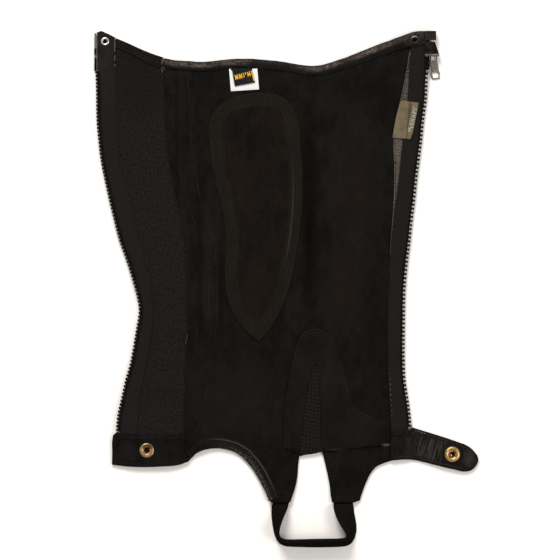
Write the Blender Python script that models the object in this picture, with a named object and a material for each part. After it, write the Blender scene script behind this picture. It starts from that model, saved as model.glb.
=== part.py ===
"""One half chap for the lower leg, laid open flat with its suede inside facing up.

The smooth outside lies on the floor. The chap is cut from one leather leg panel with two wings at
its foot, an elastic panel along the calf, a zip down both long edges, a snap tab and a snap strap
at the ankle, and an elastic strap that passes under the shoe.

Plan positions are millimetres across and down the cutting table, from the table's corner.
TABLE_CENTRE is the plan position of the world's origin. Heights are millimetres above the floor.
"""

import math

import bmesh
import bpy
from mathutils import Matrix, Vector
from mathutils.geometry import delaunay_2d_cdt

MM = 0.001
TABLE_CENTRE = (286.175, 288.975)

# Thickness of each material, and the gap that sewn pieces keep
LEATHER = 1.8
BINDING = 1.0
ELASTIC = 1.6
HEM = 1.2
OVERLAY = 1.6
GUSSET = 1.1
FACING = 1.0
TAPE = 1.0
WEBBING = 2.0
LABEL = 0.8
GAP = 0.3

# How the top layer steps down past the edge of the layer below
PLATEAU = 1.2
RAMP_FOOT = 6.5

# Mesh spacing
EDGE_STEP = 8.0
GRID_STEP = 14.0

# Zip
TEETH_WIDTH = 3.2
TEETH_HEIGHT = 4.2
TEETH_TO_TAPE = 3.5
TEETH_TO_PANEL = 5.0
SLIDER_HEIGHT = 7.0
BOX_HEIGHT = 6.0
PIN_RADIUS = 1.25

# Snaps and eyelets
LEFT_SNAP = (146.9, 449.8)
RIGHT_SNAP = (451.6, 453.8)
LEFT_EYELET = (105.2, 41.8)
RIGHT_EYELET = (414.4, 40.5)
STUD_HEIGHT = 3.2
CAP_HEIGHT = 2.6
EYELET_BORE = 2.1

# Smooth swells of the whole piece over the floor: from, to, reach and height
SWELLS = [
    ((262, 150), (262, 250), 62, 3.0),
    ((352, 120), (352, 290), 44, 2.5),
    ((142, 130), (160, 290), 26, 1.2),
    ((104, 42), (104, 42), 50, 1.7),
    (LEFT_SNAP, LEFT_SNAP, 48, STUD_HEIGHT + 2 * GAP),
    (RIGHT_SNAP, RIGHT_SNAP, 34, CAP_HEIGHT + 2 * GAP),
    ((431, 50), (431, 50), 62, 2.8),
]

# Bound edges stand off the floor by the leather that is turned under them
BOUND_RISE = BINDING + 1.4 * GAP
BOUND_HOLD = 16
BOUND_END = 60
ARCH_END = 45

# Plan curves that several pieces share, as points across and down
TOP_EDGE = [
    (164.2, 58.4), (172, 60), (188, 61.2), (204, 62.2), (220, 60.2), (236, 59), (252, 59), (268, 60.3),
    (284, 62), (300, 65), (316, 66.2), (332, 62), (348, 56.5), (372, 47), (388, 41), (402, 35.6),
    (411, 32.2), (418, 31), (424.1, 31.3),
]
TOP_BINDING_WIDTH = [(164.2, 9.5), (300, 9.5), (330, 10.5), (390, 12), (404, 13.5), (412, 14.8), (424.1, 14.4)]
ARCH_EDGE = [
    (190.8, 458), (194, 455), (199, 452), (204, 450), (212, 448.2), (220, 448.3), (228, 450),
    (234, 452), (239, 454.8), (243, 457.5), (250, 465.5), (256, 474), (260, 482), (264, 490),
    (266, 494), (268.2, 500.6),
]
LEFT_TEETH = [
    (95.2, 72), (95.8, 90), (96.3, 120), (98, 140), (100.3, 160), (104.3, 180), (108.7, 200),
    (113.5, 220), (118.7, 240), (125.8, 260), (132, 280), (137.2, 300), (138.3, 312), (135.5, 330),
    (130.2, 360), (124.8, 380), (120.3, 400), (117, 415), (115.7, 430.6),
]
RIGHT_TEETH = [
    (428.3, 57.8), (428.2, 70), (427.5, 80), (426.5, 100), (424, 120), (422, 140), (419.5, 160),
    (417, 180), (415, 200), (412.5, 220), (410.5, 240), (408, 260), (406, 280), (405, 300),
    (404.5, 340), (404.5, 360), (405.5, 380), (408.5, 400), (410.5, 415), (411.6, 427),
]
LEFT_TAPE_EDGE = [
    (115.6, 38.4), (115.6, 71), (116, 115), (117.4, 137), (119.6, 159), (124, 181), (128.4, 196),
    (138.7, 240), (144.5, 262), (150.4, 284), (151.9, 306), (151.9, 328), (149, 350), (141.6, 387),
    (135.7, 434),
]
RIGHT_TAPE_EDGE = [
    (411, 45), (410.3, 50), (408, 79), (407.4, 93), (405, 116), (402, 142), (399.3, 167), (397, 187),
    (394, 211), (390.5, 243), (389, 275), (387.6, 310), (387.6, 372), (390, 416), (390.6, 431),
]
FACING_EDGE = [
    (409.2, 49.4), (404.4, 79), (401.5, 93), (396.4, 115), (393, 137), (393.6, 167), (393.4, 196),
    (392, 218), (390.3, 240), (389.5, 255),
]
PANEL_LEFT_EDGE = [
    (184.4, 451), (184, 440), (184.5, 420), (186, 380), (187.3, 340), (188, 300), (187, 260),
    (184, 230), (175, 190), (168, 150), (165.2, 110), (165, 75), (164.8, 60.4),
]
CALF_OUTLINE = [
    (259, 342), (242.6, 328), (229.6, 306), (224.6, 276), (226, 240), (222, 209), (213, 172),
    (209, 142), (209, 123), (214, 111), (224, 102), (238, 96), (254, 93), (268, 93.2), (280, 95.5),
    (289, 102), (295, 112), (300.5, 149), (302.5, 187), (300.5, 224), (295, 261), (285.6, 299),
    (272.5, 325), (259, 342),
]
ARCH_OF_OVERLAY = [
    (283.5, 447.4), (284, 416), (286.4, 392.5), (291.5, 364.6), (296.7, 342.6), (300.5, 334.5),
    (306, 329.6), (315.7, 327.8), (326, 331), (331, 335.5), (335, 342), (342, 362), (346.5, 384),
    (350.5, 396), (355.3, 406), (360, 410.5), (366, 413.5), (375, 417.3), (389.6, 421.6),
]
NOTCH_LEFT = [(299.3, 453), (301.5, 430), (304.5, 405), (307.5, 385), (311.8, 368)]
NOTCH_RIGHT = [(318, 371), (319.6, 395), (320.6, 420), (321.4, 446), (321.8, 451)]
HOLE_LEFT = [(299, 456), (297.6, 466), (297.5, 474), (296.3, 482), (293.5, 492), (290, 501.8)]
HOLE_RIGHT = [(331.5, 501.8), (330.6, 494), (329.5, 486), (328, 478), (324.5, 462), (321.8, 451.5)]
OUTER_WING = [
    (359.6, 499.8), (360.9, 494.5), (364.3, 485), (368.5, 475.5), (371.5, 471), (375, 466.8),
    (379.5, 464.2), (389.6, 460.6),
]

# Strap under the shoe: outer edge, inner edge and width of the webbing at each section
FOOT_STRAP = [
    ((273.4, 494.6), (288.6, 494.6), 15.2),
    ((272.2, 502.8), (288.6, 502.8), 16.4),
    ((271.2, 506.5), (287.8, 506.3), 17.4),
    ((271.0, 511), (286.6, 510), 19.0),
    ((271.1, 517), (284.2, 515.5), 20.0),
    ((271.8, 523), (281.8, 521.5), 20.6),
    ((272.8, 529), (279.8, 528.2), 21.0),
    ((274.0, 534), (279.2, 533), 21.2),
    ((276.2, 539), (280.6, 536.6), 21.4),
    ((279.8, 543.2), (283.4, 538.4), 21.6),
    ((285.5, 545.6), (286.8, 539.2), 22.0),
    ((293, 546.2), (293.2, 539.4), 22.0),
    ((310, 546.6), (310, 538.8), 22.0),
    ((327, 546.6), (327, 538.4), 22.0),
    ((339, 546.2), (339, 538.0), 22.2),
    ((346.5, 545.4), (343.8, 537.4), 22.4),
    ((351.4, 542.6), (345.4, 536.2), 22.6),
    ((354.6, 537.4), (345.4, 533.4), 22.8),
    ((356.2, 530.5), (343.0, 529.4), 23.0),
    ((356.2, 524), (339.4, 524), 23.0),
    ((355.2, 517.5), (336.2, 518), 23.0),
    ((353.8, 511), (334.0, 512), 22.6),
    ((353.4, 506.5), (332.9, 506.8), 21.2),
    ((352.6, 502.8), (333.2, 502.8), 19.4),
    ((352.2, 494.6), (334.0, 494.6), 18.2),
]


def lerp(a, b, t):
    return (a[0] + (b[0] - a[0]) * t, a[1] + (b[1] - a[1]) * t)


def tangent(before, here, after):
    """Slope of a smooth curve at a point, per millimetre, from its two neighbours."""
    back = math.dist(before, here)
    ahead = math.dist(here, after)
    return tuple(
        ((here[i] - before[i]) / back * ahead + (after[i] - here[i]) / ahead * back) / (back + ahead)
        for i in (0, 1)
    )


def smooth(points, step=EDGE_STEP):
    """Points about one step apart on a smooth curve through the given points."""
    slopes = [tangent(*points[i - 1:i + 2]) for i in range(1, len(points) - 1)]
    first = tuple((points[1][i] - points[0][i]) / math.dist(points[0], points[1]) for i in (0, 1))
    last = tuple((points[-1][i] - points[-2][i]) / math.dist(points[-1], points[-2]) for i in (0, 1))
    slopes = [first] + slopes + [last]
    path = []
    for here, after, leaving, arriving in zip(points, points[1:], slopes, slopes[1:]):
        length = math.dist(here, after)
        parts = max(1, round(length / step))
        for k in range(parts):
            t = k / parts
            h = (2 * t**3 - 3 * t**2 + 1, t**3 - 2 * t**2 + t, -2 * t**3 + 3 * t**2, t**3 - t**2)
            path.append(tuple(
                h[0] * here[i] + h[1] * length * leaving[i] + h[2] * after[i] + h[3] * length * arriving[i]
                for i in (0, 1)
            ))
    return path + [points[-1]]


def outline(*runs, step=EDGE_STEP):
    """A closed outline of smooth runs that meet at corners."""
    loop = []
    for run in runs:
        loop += [point for point in smooth(run, step) if not loop or math.dist(point, loop[-1]) > 0.4]
    if math.dist(loop[0], loop[-1]) < 0.4:
        loop.pop()
    return loop


def signed_area(loop):
    return 0.5 * sum(a[0] * b[1] - b[0] * a[1] for a, b in zip(loop, loop[1:] + loop[:1]))


def shifted(points, distance, closed=False):
    """A line moved sideways, to the right of its own direction on the table."""
    moved = []
    for i, point in enumerate(points):
        if closed:
            before, after = points[i - 1], points[(i + 1) % len(points)]
        else:
            before, after = points[max(i - 1, 0)], points[min(i + 1, len(points) - 1)]
        length = math.dist(before, after)
        across = (-(after[1] - before[1]) / length, (after[0] - before[0]) / length)
        moved.append((point[0] + across[0] * distance, point[1] + across[1] * distance))
    return moved


def between(points, low, high):
    """The part of a line whose points lie between two distances down the table."""
    return [point for point in points if low <= point[1] <= high]


def distance_to_line(spot, line):
    nearest = math.inf
    for a, b in zip(line, line[1:]):
        dx, dy = b[0] - a[0], b[1] - a[1]
        length = dx * dx + dy * dy
        t = 0.0
        if length > 0:
            t = min(1.0, max(0.0, ((spot[0] - a[0]) * dx + (spot[1] - a[1]) * dy) / length))
        nearest = min(nearest, math.hypot(spot[0] - a[0] - t * dx, spot[1] - a[1] - t * dy))
    return nearest


def is_inside(spot, loop):
    inside = False
    for a, b in zip(loop, loop[1:] + loop[:1]):
        if (a[1] > spot[1]) != (b[1] > spot[1]):
            crossing = a[0] + (spot[1] - a[1]) / (b[1] - a[1]) * (b[0] - a[0])
            inside ^= spot[0] < crossing
    return inside


def fade(distance, hold, end):
    """1 up to one distance, 0 beyond another, with a soft S between them."""
    t = min(1.0, max(0.0, (distance - hold) / (end - hold)))
    return 1 - t * t * (3 - 2 * t)


def lift(spot):
    """Height of the lowest layer's underside over the floor."""
    height = 0.0
    for start, end, reach, rise in SWELLS:
        away = distance_to_line(spot, [start, end]) / reach
        if away < 1:
            height += rise * (1 - away * away) ** 2
    height += BOUND_RISE * fade(distance_to_line(spot, TOP_EDGE), BOUND_HOLD, BOUND_END)
    height += BOUND_RISE * fade(distance_to_line(spot, ARCH_EDGE), BOUND_HOLD, ARCH_END)
    return height


class Sheet:
    """A cut piece: its outline, thickness and window, what it lies on, and lines its net must follow."""

    def __init__(self, loop, thickness, lies_on=(), window=None, rise=None, guides=()):
        self.loop = loop if signed_area(loop) > 0 else loop[::-1]
        self.thickness = thickness
        self.lies_on = lies_on
        self.window = window
        self.rise = rise
        self.guides = guides
        self.low = [min(point[i] for point in loop) - RAMP_FOOT for i in (0, 1)]
        self.high = [max(point[i] for point in loop) + RAMP_FOOT for i in (0, 1)]

    def holds(self, spot):
        if self.window and is_inside(spot, self.window):
            return False
        return is_inside(spot, self.loop)

    def edges(self):
        return [self.loop] + ([self.window] if self.window else [])

    def edge_distance(self, spot):
        return min(distance_to_line(spot, loop + loop[:1]) for loop in self.edges())

    def underside(self, spot):
        """Height of this piece's underside over the lowest layer's."""
        height = max([0.0] + [below.cover(spot) for below in self.lies_on])
        return height + (self.rise(spot) if self.rise else 0.0)

    def cover(self, spot):
        """Height that this piece gives to whatever lies on it, ramping down past its edge."""
        share = 0.0
        if all(self.low[i] < spot[i] < self.high[i] for i in (0, 1)):
            away = 0.0 if self.holds(spot) else self.edge_distance(spot)
            share = min(1.0, max(0.0, (RAMP_FOOT - away) / (RAMP_FOOT - PLATEAU)))
        return self.underside(spot) + share * (self.thickness + GAP)

    def bottom(self, spot):
        return lift(spot) + self.underside(spot)

    def top(self, spot):
        return self.bottom(spot) + self.thickness

    def ramp_lines(self):
        """The lines where whatever lies on this piece starts and stops stepping down."""
        lines = []
        for away in (PLATEAU, RAMP_FOOT):
            lines.append(shifted(self.loop, -away, closed=True))
            if self.window:
                inward = -away if signed_area(self.window) < 0 else away
                lines.append(shifted(self.window, inward, closed=True))
        for below in self.lies_on:
            lines += below.ramp_lines()
        return lines

    def grid(self, spacing):
        """Points inside the outline, in staggered rows, clear of its edges and of ramp lines."""
        lines = [line + line[:1] for below in self.lies_on for line in below.ramp_lines()]
        lines += self.guides
        spots = []
        row = 0
        down = self.low[1] + RAMP_FOOT + spacing / 2
        while down < self.high[1]:
            across = self.low[0] + RAMP_FOOT + spacing / 2 * (row % 2)
            while across < self.high[0]:
                spot = (across, down)
                clear = self.holds(spot) and self.edge_distance(spot) > spacing * 0.5
                if clear and all(distance_to_line(spot, line) > spacing * 0.4 for line in lines):
                    spots.append(spot)
                across += spacing
            down += spacing * math.sqrt(0.75)
            row += 1
        return spots


def world(spot, height):
    return Vector((spot[0] - TABLE_CENTRE[0], TABLE_CENTRE[1] - spot[1], height)) * MM


def material(name, colour, roughness, metallic=0.0):
    """A plain surface: its colour as the eye sees it, from 0 to 255, turned to linear values."""
    surface = bpy.data.materials.get(name) or bpy.data.materials.new(name)
    surface.use_nodes = True
    shader = surface.node_tree.nodes["Principled BSDF"]
    linear = [((c / 255 + 0.055) / 1.055) ** 2.4 if c > 10 else c / 255 / 12.92 for c in colour]
    shader.inputs["Base Color"].default_value = (*linear, 1)
    shader.inputs["Roughness"].default_value = roughness
    shader.inputs["Metallic"].default_value = metallic
    return surface


def suede():
    return material("black_suede", (26, 23, 20), 0.95)


def grain_leather():
    return material("grain_leather", (48, 45, 43), 0.5)


def elastic_knit():
    return material("elastic_knit", (30, 29, 27), 0.9)


def zip_cloth():
    return material("zip_cloth", (32, 31, 29), 0.85)


def black_plastic():
    return material("black_plastic", (24, 23, 23), 0.4)


def webbing():
    return material("webbing", (22, 20, 18), 0.9)


def brass():
    return material("brass", (176, 140, 86), 0.35, 1.0)


def nickel():
    return material("nickel", (190, 184, 178), 0.3, 1.0)


def dark_metal():
    return material("dark_metal", (52, 49, 47), 0.4, 1.0)


def add_object(name, bm, surface, flat_angle=0.6):
    """Closes the mesh's bookkeeping and puts it in the scene as one named piece."""
    bmesh.ops.remove_doubles(bm, verts=bm.verts, dist=0.01 * MM)
    bmesh.ops.recalc_face_normals(bm, faces=bm.faces)
    mesh = bpy.data.meshes.new(name)
    bm.to_mesh(mesh)
    bm.free()
    mesh.shade_smooth()
    mesh.set_sharp_from_angle(angle=flat_angle)
    mesh.materials.append(surface)
    piece = bpy.data.objects.new(name, mesh)
    bpy.context.collection.objects.link(piece)
    return piece


def make_sheet(name, sheet, surface, spacing=GRID_STEP):
    """Turns a cut piece into a solid wall: one net of triangles below, the same one above."""
    points, edges = [], []
    lines = [line for below in sheet.lies_on for line in below.ramp_lines()]
    for line in sheet.edges() + lines:
        first = len(points)
        points += line
        edges += [(first + i, first + (i + 1) % len(line)) for i in range(len(line))]
    for line in sheet.guides:
        first = len(points)
        points += line
        edges += [(first + i, first + i + 1) for i in range(len(line) - 1)]
    points += sheet.grid(spacing)
    net = delaunay_2d_cdt([Vector(point) for point in points], edges, [], 0, 0.02)
    spots, faces = net[0], net[2]
    bm = bmesh.new()
    lower, upper = {}, {}
    for face in faces:
        centre = [sum(spots[i][axis] for i in face) / len(face) for axis in (0, 1)]
        if not sheet.holds(centre):
            continue
        for i in face:
            if i not in lower:
                lower[i] = bm.verts.new(world(spots[i], sheet.bottom(spots[i])))
                upper[i] = bm.verts.new(world(spots[i], sheet.top(spots[i])))
        bm.faces.new([lower[i] for i in face])
        bm.faces.new([upper[i] for i in reversed(face)])
    rims = [edge for edge in bm.edges if edge.is_boundary]
    above = {lower[i]: upper[i] for i in lower}
    for edge in rims:
        if edge.verts[0] in above:
            a, b = edge.verts
            bm.faces.new([a, b, above[b], above[a]])
    bmesh.ops.triangulate(bm, faces=[face for face in bm.faces if len(face.verts) > 3])
    return add_object(name, bm, surface)


def sweep(name, sections, surface):
    """Joins a row of like sections into one solid with flat ends."""
    bm = bmesh.new()
    rings = [[bm.verts.new(point) for point in section] for section in sections]
    count = len(rings[0])
    for ring, following in zip(rings, rings[1:]):
        for i in range(count):
            j = (i + 1) % count
            bm.faces.new([ring[i], ring[j], following[j], following[i]])
    ends = [bm.faces.new(rings[0][::-1]), bm.faces.new(rings[-1])]
    for end in ends:
        end.normal_update()
    bmesh.ops.triangulate(bm, faces=ends)
    bmesh.ops.triangulate(bm, faces=[face for face in bm.faces if len(face.verts) > 3])
    return add_object(name, bm, surface)


def turned(name, profile, centre, surface, sides=20):
    """A ring turned about an upright axis: its closed profile is radius and height pairs."""
    bm = bmesh.new()
    rings = []
    for k in range(sides):
        angle = 2 * math.pi * k / sides
        turn = Vector((math.cos(angle), math.sin(angle), 0))
        ring = [centre + (turn * radius + Vector((0, 0, z))) * MM for radius, z in profile]
        rings.append([bm.verts.new(point) for point in ring])
    for ring, following in zip(rings, rings[1:] + rings[:1]):
        for i in range(len(profile)):
            j = (i + 1) % len(profile)
            bm.faces.new([ring[i], ring[j], following[j], following[i]])
    return add_object(name, bm, surface)


def prism(name, loop, low, high, surface):
    """An outline on the table, raised from one height to another."""
    bm = bmesh.new()
    lower = [bm.verts.new(world(point, low)) for point in loop]
    upper = [bm.verts.new(world(point, high)) for point in loop]
    bm.faces.new(lower[::-1])
    bm.faces.new(upper)
    for i in range(len(loop)):
        j = (i + 1) % len(loop)
        bm.faces.new([lower[i], lower[j], upper[j], upper[i]])
    return add_object(name, bm, surface)


def pierce(piece, cutter):
    """Cuts another solid's shape out of a piece."""
    modifier = piece.modifiers.new("hole", "BOOLEAN")
    modifier.operation = "DIFFERENCE"
    modifier.solver = "EXACT"
    modifier.object = cutter
    cutter.hide_render = True
    cutter.display_type = "WIRE"


def read_off(table, value):
    """Reads a value off a table of pairs, straight between its rows."""
    for (a, low), (b, high) in zip(table, table[1:]):
        if value <= b:
            return low + (high - low) * max(0.0, (value - a) / (b - a))
    return table[-1][1]


def elastic_sheet():
    """The stretch panel, whose right edge is sewn under the leg panel."""
    hidden_right = [(189, 75), (192, 110), (194, 149), (200, 187), (205, 209), (211.5, 239), (216, 276),
                    (217, 317), (213.5, 355), (208, 388), (204, 411), (199, 437)]
    hidden_left = shifted(smooth(LEFT_TEETH[:-1])[::-1], TEETH_TO_PANEL)
    top = [(115.95, 38.6), (128, 43.6), (140, 49.2), (150, 53.4), (163.6, 58.0)]
    # It meets the top binding's slanted end, then the leg panel, edge to edge
    beside_panel = [(163.6, 58.0), (161.8, 68.7), (164.4, 68.7), (164.4, 75), (189, 75)]
    corner = [(121.5, 437.5), (199, 437)]
    return Sheet(outline(top, beside_panel[:2], beside_panel[1:3], beside_panel[2:4], beside_panel[3:],
                         hidden_right, corner[::-1], hidden_left, [hidden_left[-1], (102, 62)],
                         [(102, 62), (115.95, 50)], [(115.95, 50), top[0]]), ELASTIC)


def hem_sheet(elastic):
    """The turned hem along the elastic's top edge."""
    top = [(115.95, 38.8), (128, 43.8), (140, 49.4), (150, 53.6), (163.5, 58.2)]
    fold = [(161.7, 68.9), (150, 64.6), (134, 56.4), (118.8, 49.2), (115.95, 48.4)]
    return Sheet(outline(top, [top[-1], fold[0]], fold), HEM, [elastic])


def strap_ends():
    """Flat ends of the foot strap, which are sewn under the two wings."""
    left, right = FOOT_STRAP[0], FOOT_STRAP[-1]
    return [
        Sheet([left[0], left[1], (FOOT_STRAP[1][1][0], 502), (FOOT_STRAP[1][0][0], 502)], WEBBING),
        Sheet([right[1], right[0], (FOOT_STRAP[-2][0][0], 502), (FOOT_STRAP[-2][1][0], 502)], WEBBING),
    ]


def leg_sheet(elastic):
    """The leather leg panel with both wings, the calf window and the instep notch."""
    turn_in = BINDING + 2 * GAP
    top = [point for point in shifted(smooth(TOP_EDGE), turn_in) if 164.5 < point[0] < 421]
    arch = shifted(smooth(ARCH_EDGE), -turn_in)
    right = shifted(smooth(RIGHT_TEETH), TEETH_TO_PANEL)
    corner = [(422.8, 32.9), (422.8, 52)]
    wing_ends = [
        [OUTER_WING[0], (354.6, 501.8)], [(354.6, 501.8), HOLE_RIGHT[0]], [HOLE_LEFT[-1], (271, 501.8)],
    ]
    loop = outline(
        top, [top[-1], corner[0]], corner, [corner[1], right[0]], right,
        [right[-1], (404.8, 431)], [(404.8, 431), (403.5, 457.4)], [(403.5, 457.4), (389.6, 460.6)],
        OUTER_WING[::-1], wing_ends[0], wing_ends[1], HOLE_RIGHT,
        [HOLE_RIGHT[-1], (317.6, 452.4)], [(317.6, 452.4), (317.4, 420), (316.2, 380)],
        [(316.2, 380), (314.4, 380)], [(314.4, 380), (309.5, 405), (303.6, 455)],
        [(303.6, 455), HOLE_LEFT[0]], HOLE_LEFT, wing_ends[2], arch[::-1],
        [arch[0], (186.6, 455.6)], [(186.6, 455.6), PANEL_LEFT_EDGE[0]], PANEL_LEFT_EDGE,
    )
    # The net follows the inner edges of the bindings, so that it bends where they do
    guides = [shifted(smooth(TOP_EDGE), 10.8)] + [shifted(smooth(ARCH_EDGE), -inset) for inset in (6, 12)]
    return Sheet(loop, LEATHER, [elastic] + strap_ends(), window=calf_window(), guides=guides)


def calf_window():
    """The cut-out in the leg panel that the calf insert fills."""
    inner = [
        (259, 323), (248, 309), (240.5, 290), (238.5, 262), (240.5, 243), (238, 215), (230, 176),
        (227.5, 150), (229, 128), (236, 115), (247, 109.5), (262, 108.5), (275, 111), (283.5, 120),
        (288.5, 157), (290, 190), (288.5, 224), (284, 255), (277, 285), (268.5, 308), (259, 323),
    ]
    return outline(inner)


def calf_sheet(leg):
    return Sheet(outline(CALF_OUTLINE), LEATHER, [leg])


def overlay_sheet(leg):
    """The second layer over the instep, with a notch for the stretch gusset."""
    right_end = [ARCH_OF_OVERLAY[-1], (389.8, 443.8)]
    seam = [(389.8, 443.8), (379.4, 444.4), (351.6, 447.4), (326.6, 450.4), NOTCH_RIGHT[-1]]
    apex = [NOTCH_RIGHT[0], (315.2, 363), NOTCH_LEFT[-1]]
    left_seam = [NOTCH_LEFT[0], (293, 450.8), (287, 448.6), ARCH_OF_OVERLAY[0]]
    loop = outline(ARCH_OF_OVERLAY, right_end, seam, NOTCH_RIGHT[::-1], apex, NOTCH_LEFT[::-1], left_seam)
    return Sheet(loop, OVERLAY, [leg])


def gusset_sheet():
    """The stretch gusset, which fills the overlay's notch down to the panel's edge."""
    left = shifted(smooth(NOTCH_LEFT), GAP)
    right = shifted(smooth(NOTCH_RIGHT), GAP)
    tip = [left[-1], (315.2, 363.8), right[0]]
    foot = [right[-1], (321, 451.4), (305, 454.4), (299.8, 455.4), left[0]]
    # Stretched over the panel's notch, it stays level and doesn't dip into it
    level = LEATHER + GAP
    return Sheet(outline(left, tip, right, foot), GUSSET, rise=lambda spot: level)


def facing_sheet(leg):
    """The grain leather facing that shows beside the right zip tape."""
    right = [(point[0] + 6, point[1]) for point in between(RIGHT_TAPE_EDGE, 60, 250)]
    loop = outline(FACING_EDGE, [FACING_EDGE[-1], (393, 260)], [(393, 260), right[-1]], right[::-1],
                   [right[0], FACING_EDGE[0]])
    return Sheet(loop, FACING, [leg])


def left_tape_sheet(elastic):
    outer = shifted(smooth(LEFT_TEETH), -TEETH_TO_TAPE)
    top = [(97.2, 32.9), (101.4, 31.4), (108, 34.2), (115.6, 38.2)]
    # It steps out to the pin above the first tooth
    step_out = [outer[0], (98.7, 71), (97.2, 71), top[0]]
    loop = outline(top, LEFT_TAPE_EDGE, [LEFT_TAPE_EDGE[-1], (119.8, 434.2)], [(119.8, 434.2), outer[-1]],
                   outer[::-1], step_out[:2], step_out[1:3], step_out[2:])
    return Sheet(loop, TAPE, [elastic])


def right_tape_sheet(leg, facing):
    outer = shifted(smooth(RIGHT_TEETH), TEETH_TO_TAPE)
    top = [point for point in shifted(smooth(TOP_EDGE), BINDING + 2 * GAP) if 411 < point[0] < 424.2]
    loop = outline(RIGHT_TAPE_EDGE[::-1], [RIGHT_TAPE_EDGE[0], top[0]], top, [top[-1], (424.3, 33.2)],
                   [(424.3, 33.2), (424.3, 41.2)], [(424.3, 41.2), (424.2, 42)], [(424.2, 42), outer[0]],
                   outer, [outer[-1], (407.6, 431)], [(407.6, 431), RIGHT_TAPE_EDGE[-1]])
    return Sheet(loop, TAPE, [leg, facing])


def tab_sheet(elastic, tape, leg):
    """The suede snap tab that covers the lower end of the elastic and the left zip."""
    loop = outline([(116.8, 431.6), (113.2, 435), (112.4, 450), (112, 464.3)],
                   [(112, 464.3), (125, 466), (145, 466.8), (165, 466), (180, 464.6), (186.6, 461.7),
                    (189.4, 459)],
                   [(189.4, 459), (185.2, 454), (184.4, 434.6)], [(184.4, 434.6), (150, 434.4), (121, 434.2)],
                   [(121, 434.2), (116.8, 431.6)])
    return Sheet(loop, LEATHER, [elastic, tape, leg])


def strap_sheet(leg, tape):
    """The grain leather snap strap at the right ankle."""
    loop = outline([(390.4, 429.8), (410, 429.4), (412.5, 427.3)],
                   [(412.5, 427.3), (424, 430.8), (436, 434.5), (447, 438), (457, 441.5), (467.5, 445.7),
                    (474.5, 452), (478, 458.3), (475.9, 464.8), (470.3, 470.2), (464, 471.3), (453.5, 469.1),
                    (440, 466), (424.8, 462.1), (415, 459.9), (401, 459.3), (390.4, 460.4)],
                   [(390.4, 460.4), (390.4, 429.8)], step=3)
    return Sheet(loop, LEATHER, [leg, tape])


def curl(centre, reach, height):
    """A free corner that stands up a little."""
    return lambda spot: height * max(0.0, 1 - math.dist(spot, centre) / reach) ** 2


def label_sheets(leg, tape, facing):
    white = Sheet([(228.9, 69.4), (257.1, 69.1), (258.9, 89.9), (230.7, 91.7)], LABEL, [leg],
                  rise=curl((246, 96), 26, 2.4))
    black = Sheet([(231.8, 69.8), (251.6, 69.5), (255, 82.9), (234.7, 86.8)], LABEL, [white])
    side = Sheet([(400.8, 101), (418.2, 103.2), (412.4, 133.6), (409.9, 139.5), (392, 138), (394.9, 119.3),
                  (398.9, 104.7)], LABEL, [tape, facing, leg])
    return white, black, side


def layers_over(covers, spots):
    """Highest level over the lowest layer that the given pieces reach about some places."""
    return max(cover.cover(spot) for cover in covers for spot in spots) - GAP


def make_binding(name, edge, side, widths, underlap, sheet, covers, surface):
    """Leather rolled round an edge: a lip above, a lip below and a round nose between them."""
    nose = BINDING + GAP
    sections = []
    path = smooth(edge)
    for i, here in enumerate(path):
        before, after = path[max(i - 1, 0)], path[min(i + 1, len(path) - 1)]
        length = math.dist(before, after)
        inward = (-(after[1] - before[1]) / length * side, (after[0] - before[0]) / length * side)
        lip, turned_in = read_off(widths, here[0]), nose + read_off(underlap, here[0])

        def place(inset, along=0.0):
            """A place this far in from the silhouette, moved along it if need be."""
            return (here[0] + inward[0] * inset - inward[1] * along,
                    here[1] + inward[1] * inset + inward[0] * along)

        held = [place(lip * share, along) for share in (0.25, 0.6, 1.0) for along in (-4, 0, 4)]
        over = layers_over(covers, held)
        below = [place(turned_in * share, along) for share in (0.4, 1) for along in (-4, 0, 4)]
        under = min(sheet.underside(spot) for spot in below)
        # How far in from the silhouette each corner lies, and its level over the lowest layer
        corners = [
            (lip, over + GAP), (lip, over + GAP + BINDING * 0.6), (lip - 1.6, over + GAP + BINDING),
            (lip * 0.5, over + GAP + BINDING * 1.1), (1.6, over + GAP + BINDING * 0.9), (0.35, over),
            (0.35, under), (1.2, under - GAP - BINDING * 0.8), (2.2, under - GAP - BINDING),
            (turned_in, under - GAP - BINDING), (turned_in, under - GAP), (nose, under - GAP),
            (nose, over + GAP),
        ]
        sections.append([world(place(inset), lift(place(inset)) + level) for inset, level in corners])
    return sweep(name, sections, surface)


def make_teeth(name, edge, side, tape, surface):
    """A plain rail where the zip's teeth grip the tape's edge."""
    path = smooth(edge, 9)
    inner = shifted(path, side * TEETH_WIDTH)
    anchor = shifted(path, side * (TEETH_TO_TAPE + 0.5))
    sections = []
    for tip, root, held in zip(path, inner, anchor):
        middle = tape.bottom(held) + TAPE / 2
        half = TEETH_HEIGHT / 2
        chamfer = lerp(tip, root, 0.25)
        sections.append([
            world(tip, middle - half * 0.5), world(tip, middle + half * 0.5), world(chamfer, middle + half),
            world(root, middle + half), world(root, middle - half), world(chamfer, middle - half),
        ])
    return sweep(name, sections, surface)


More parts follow.
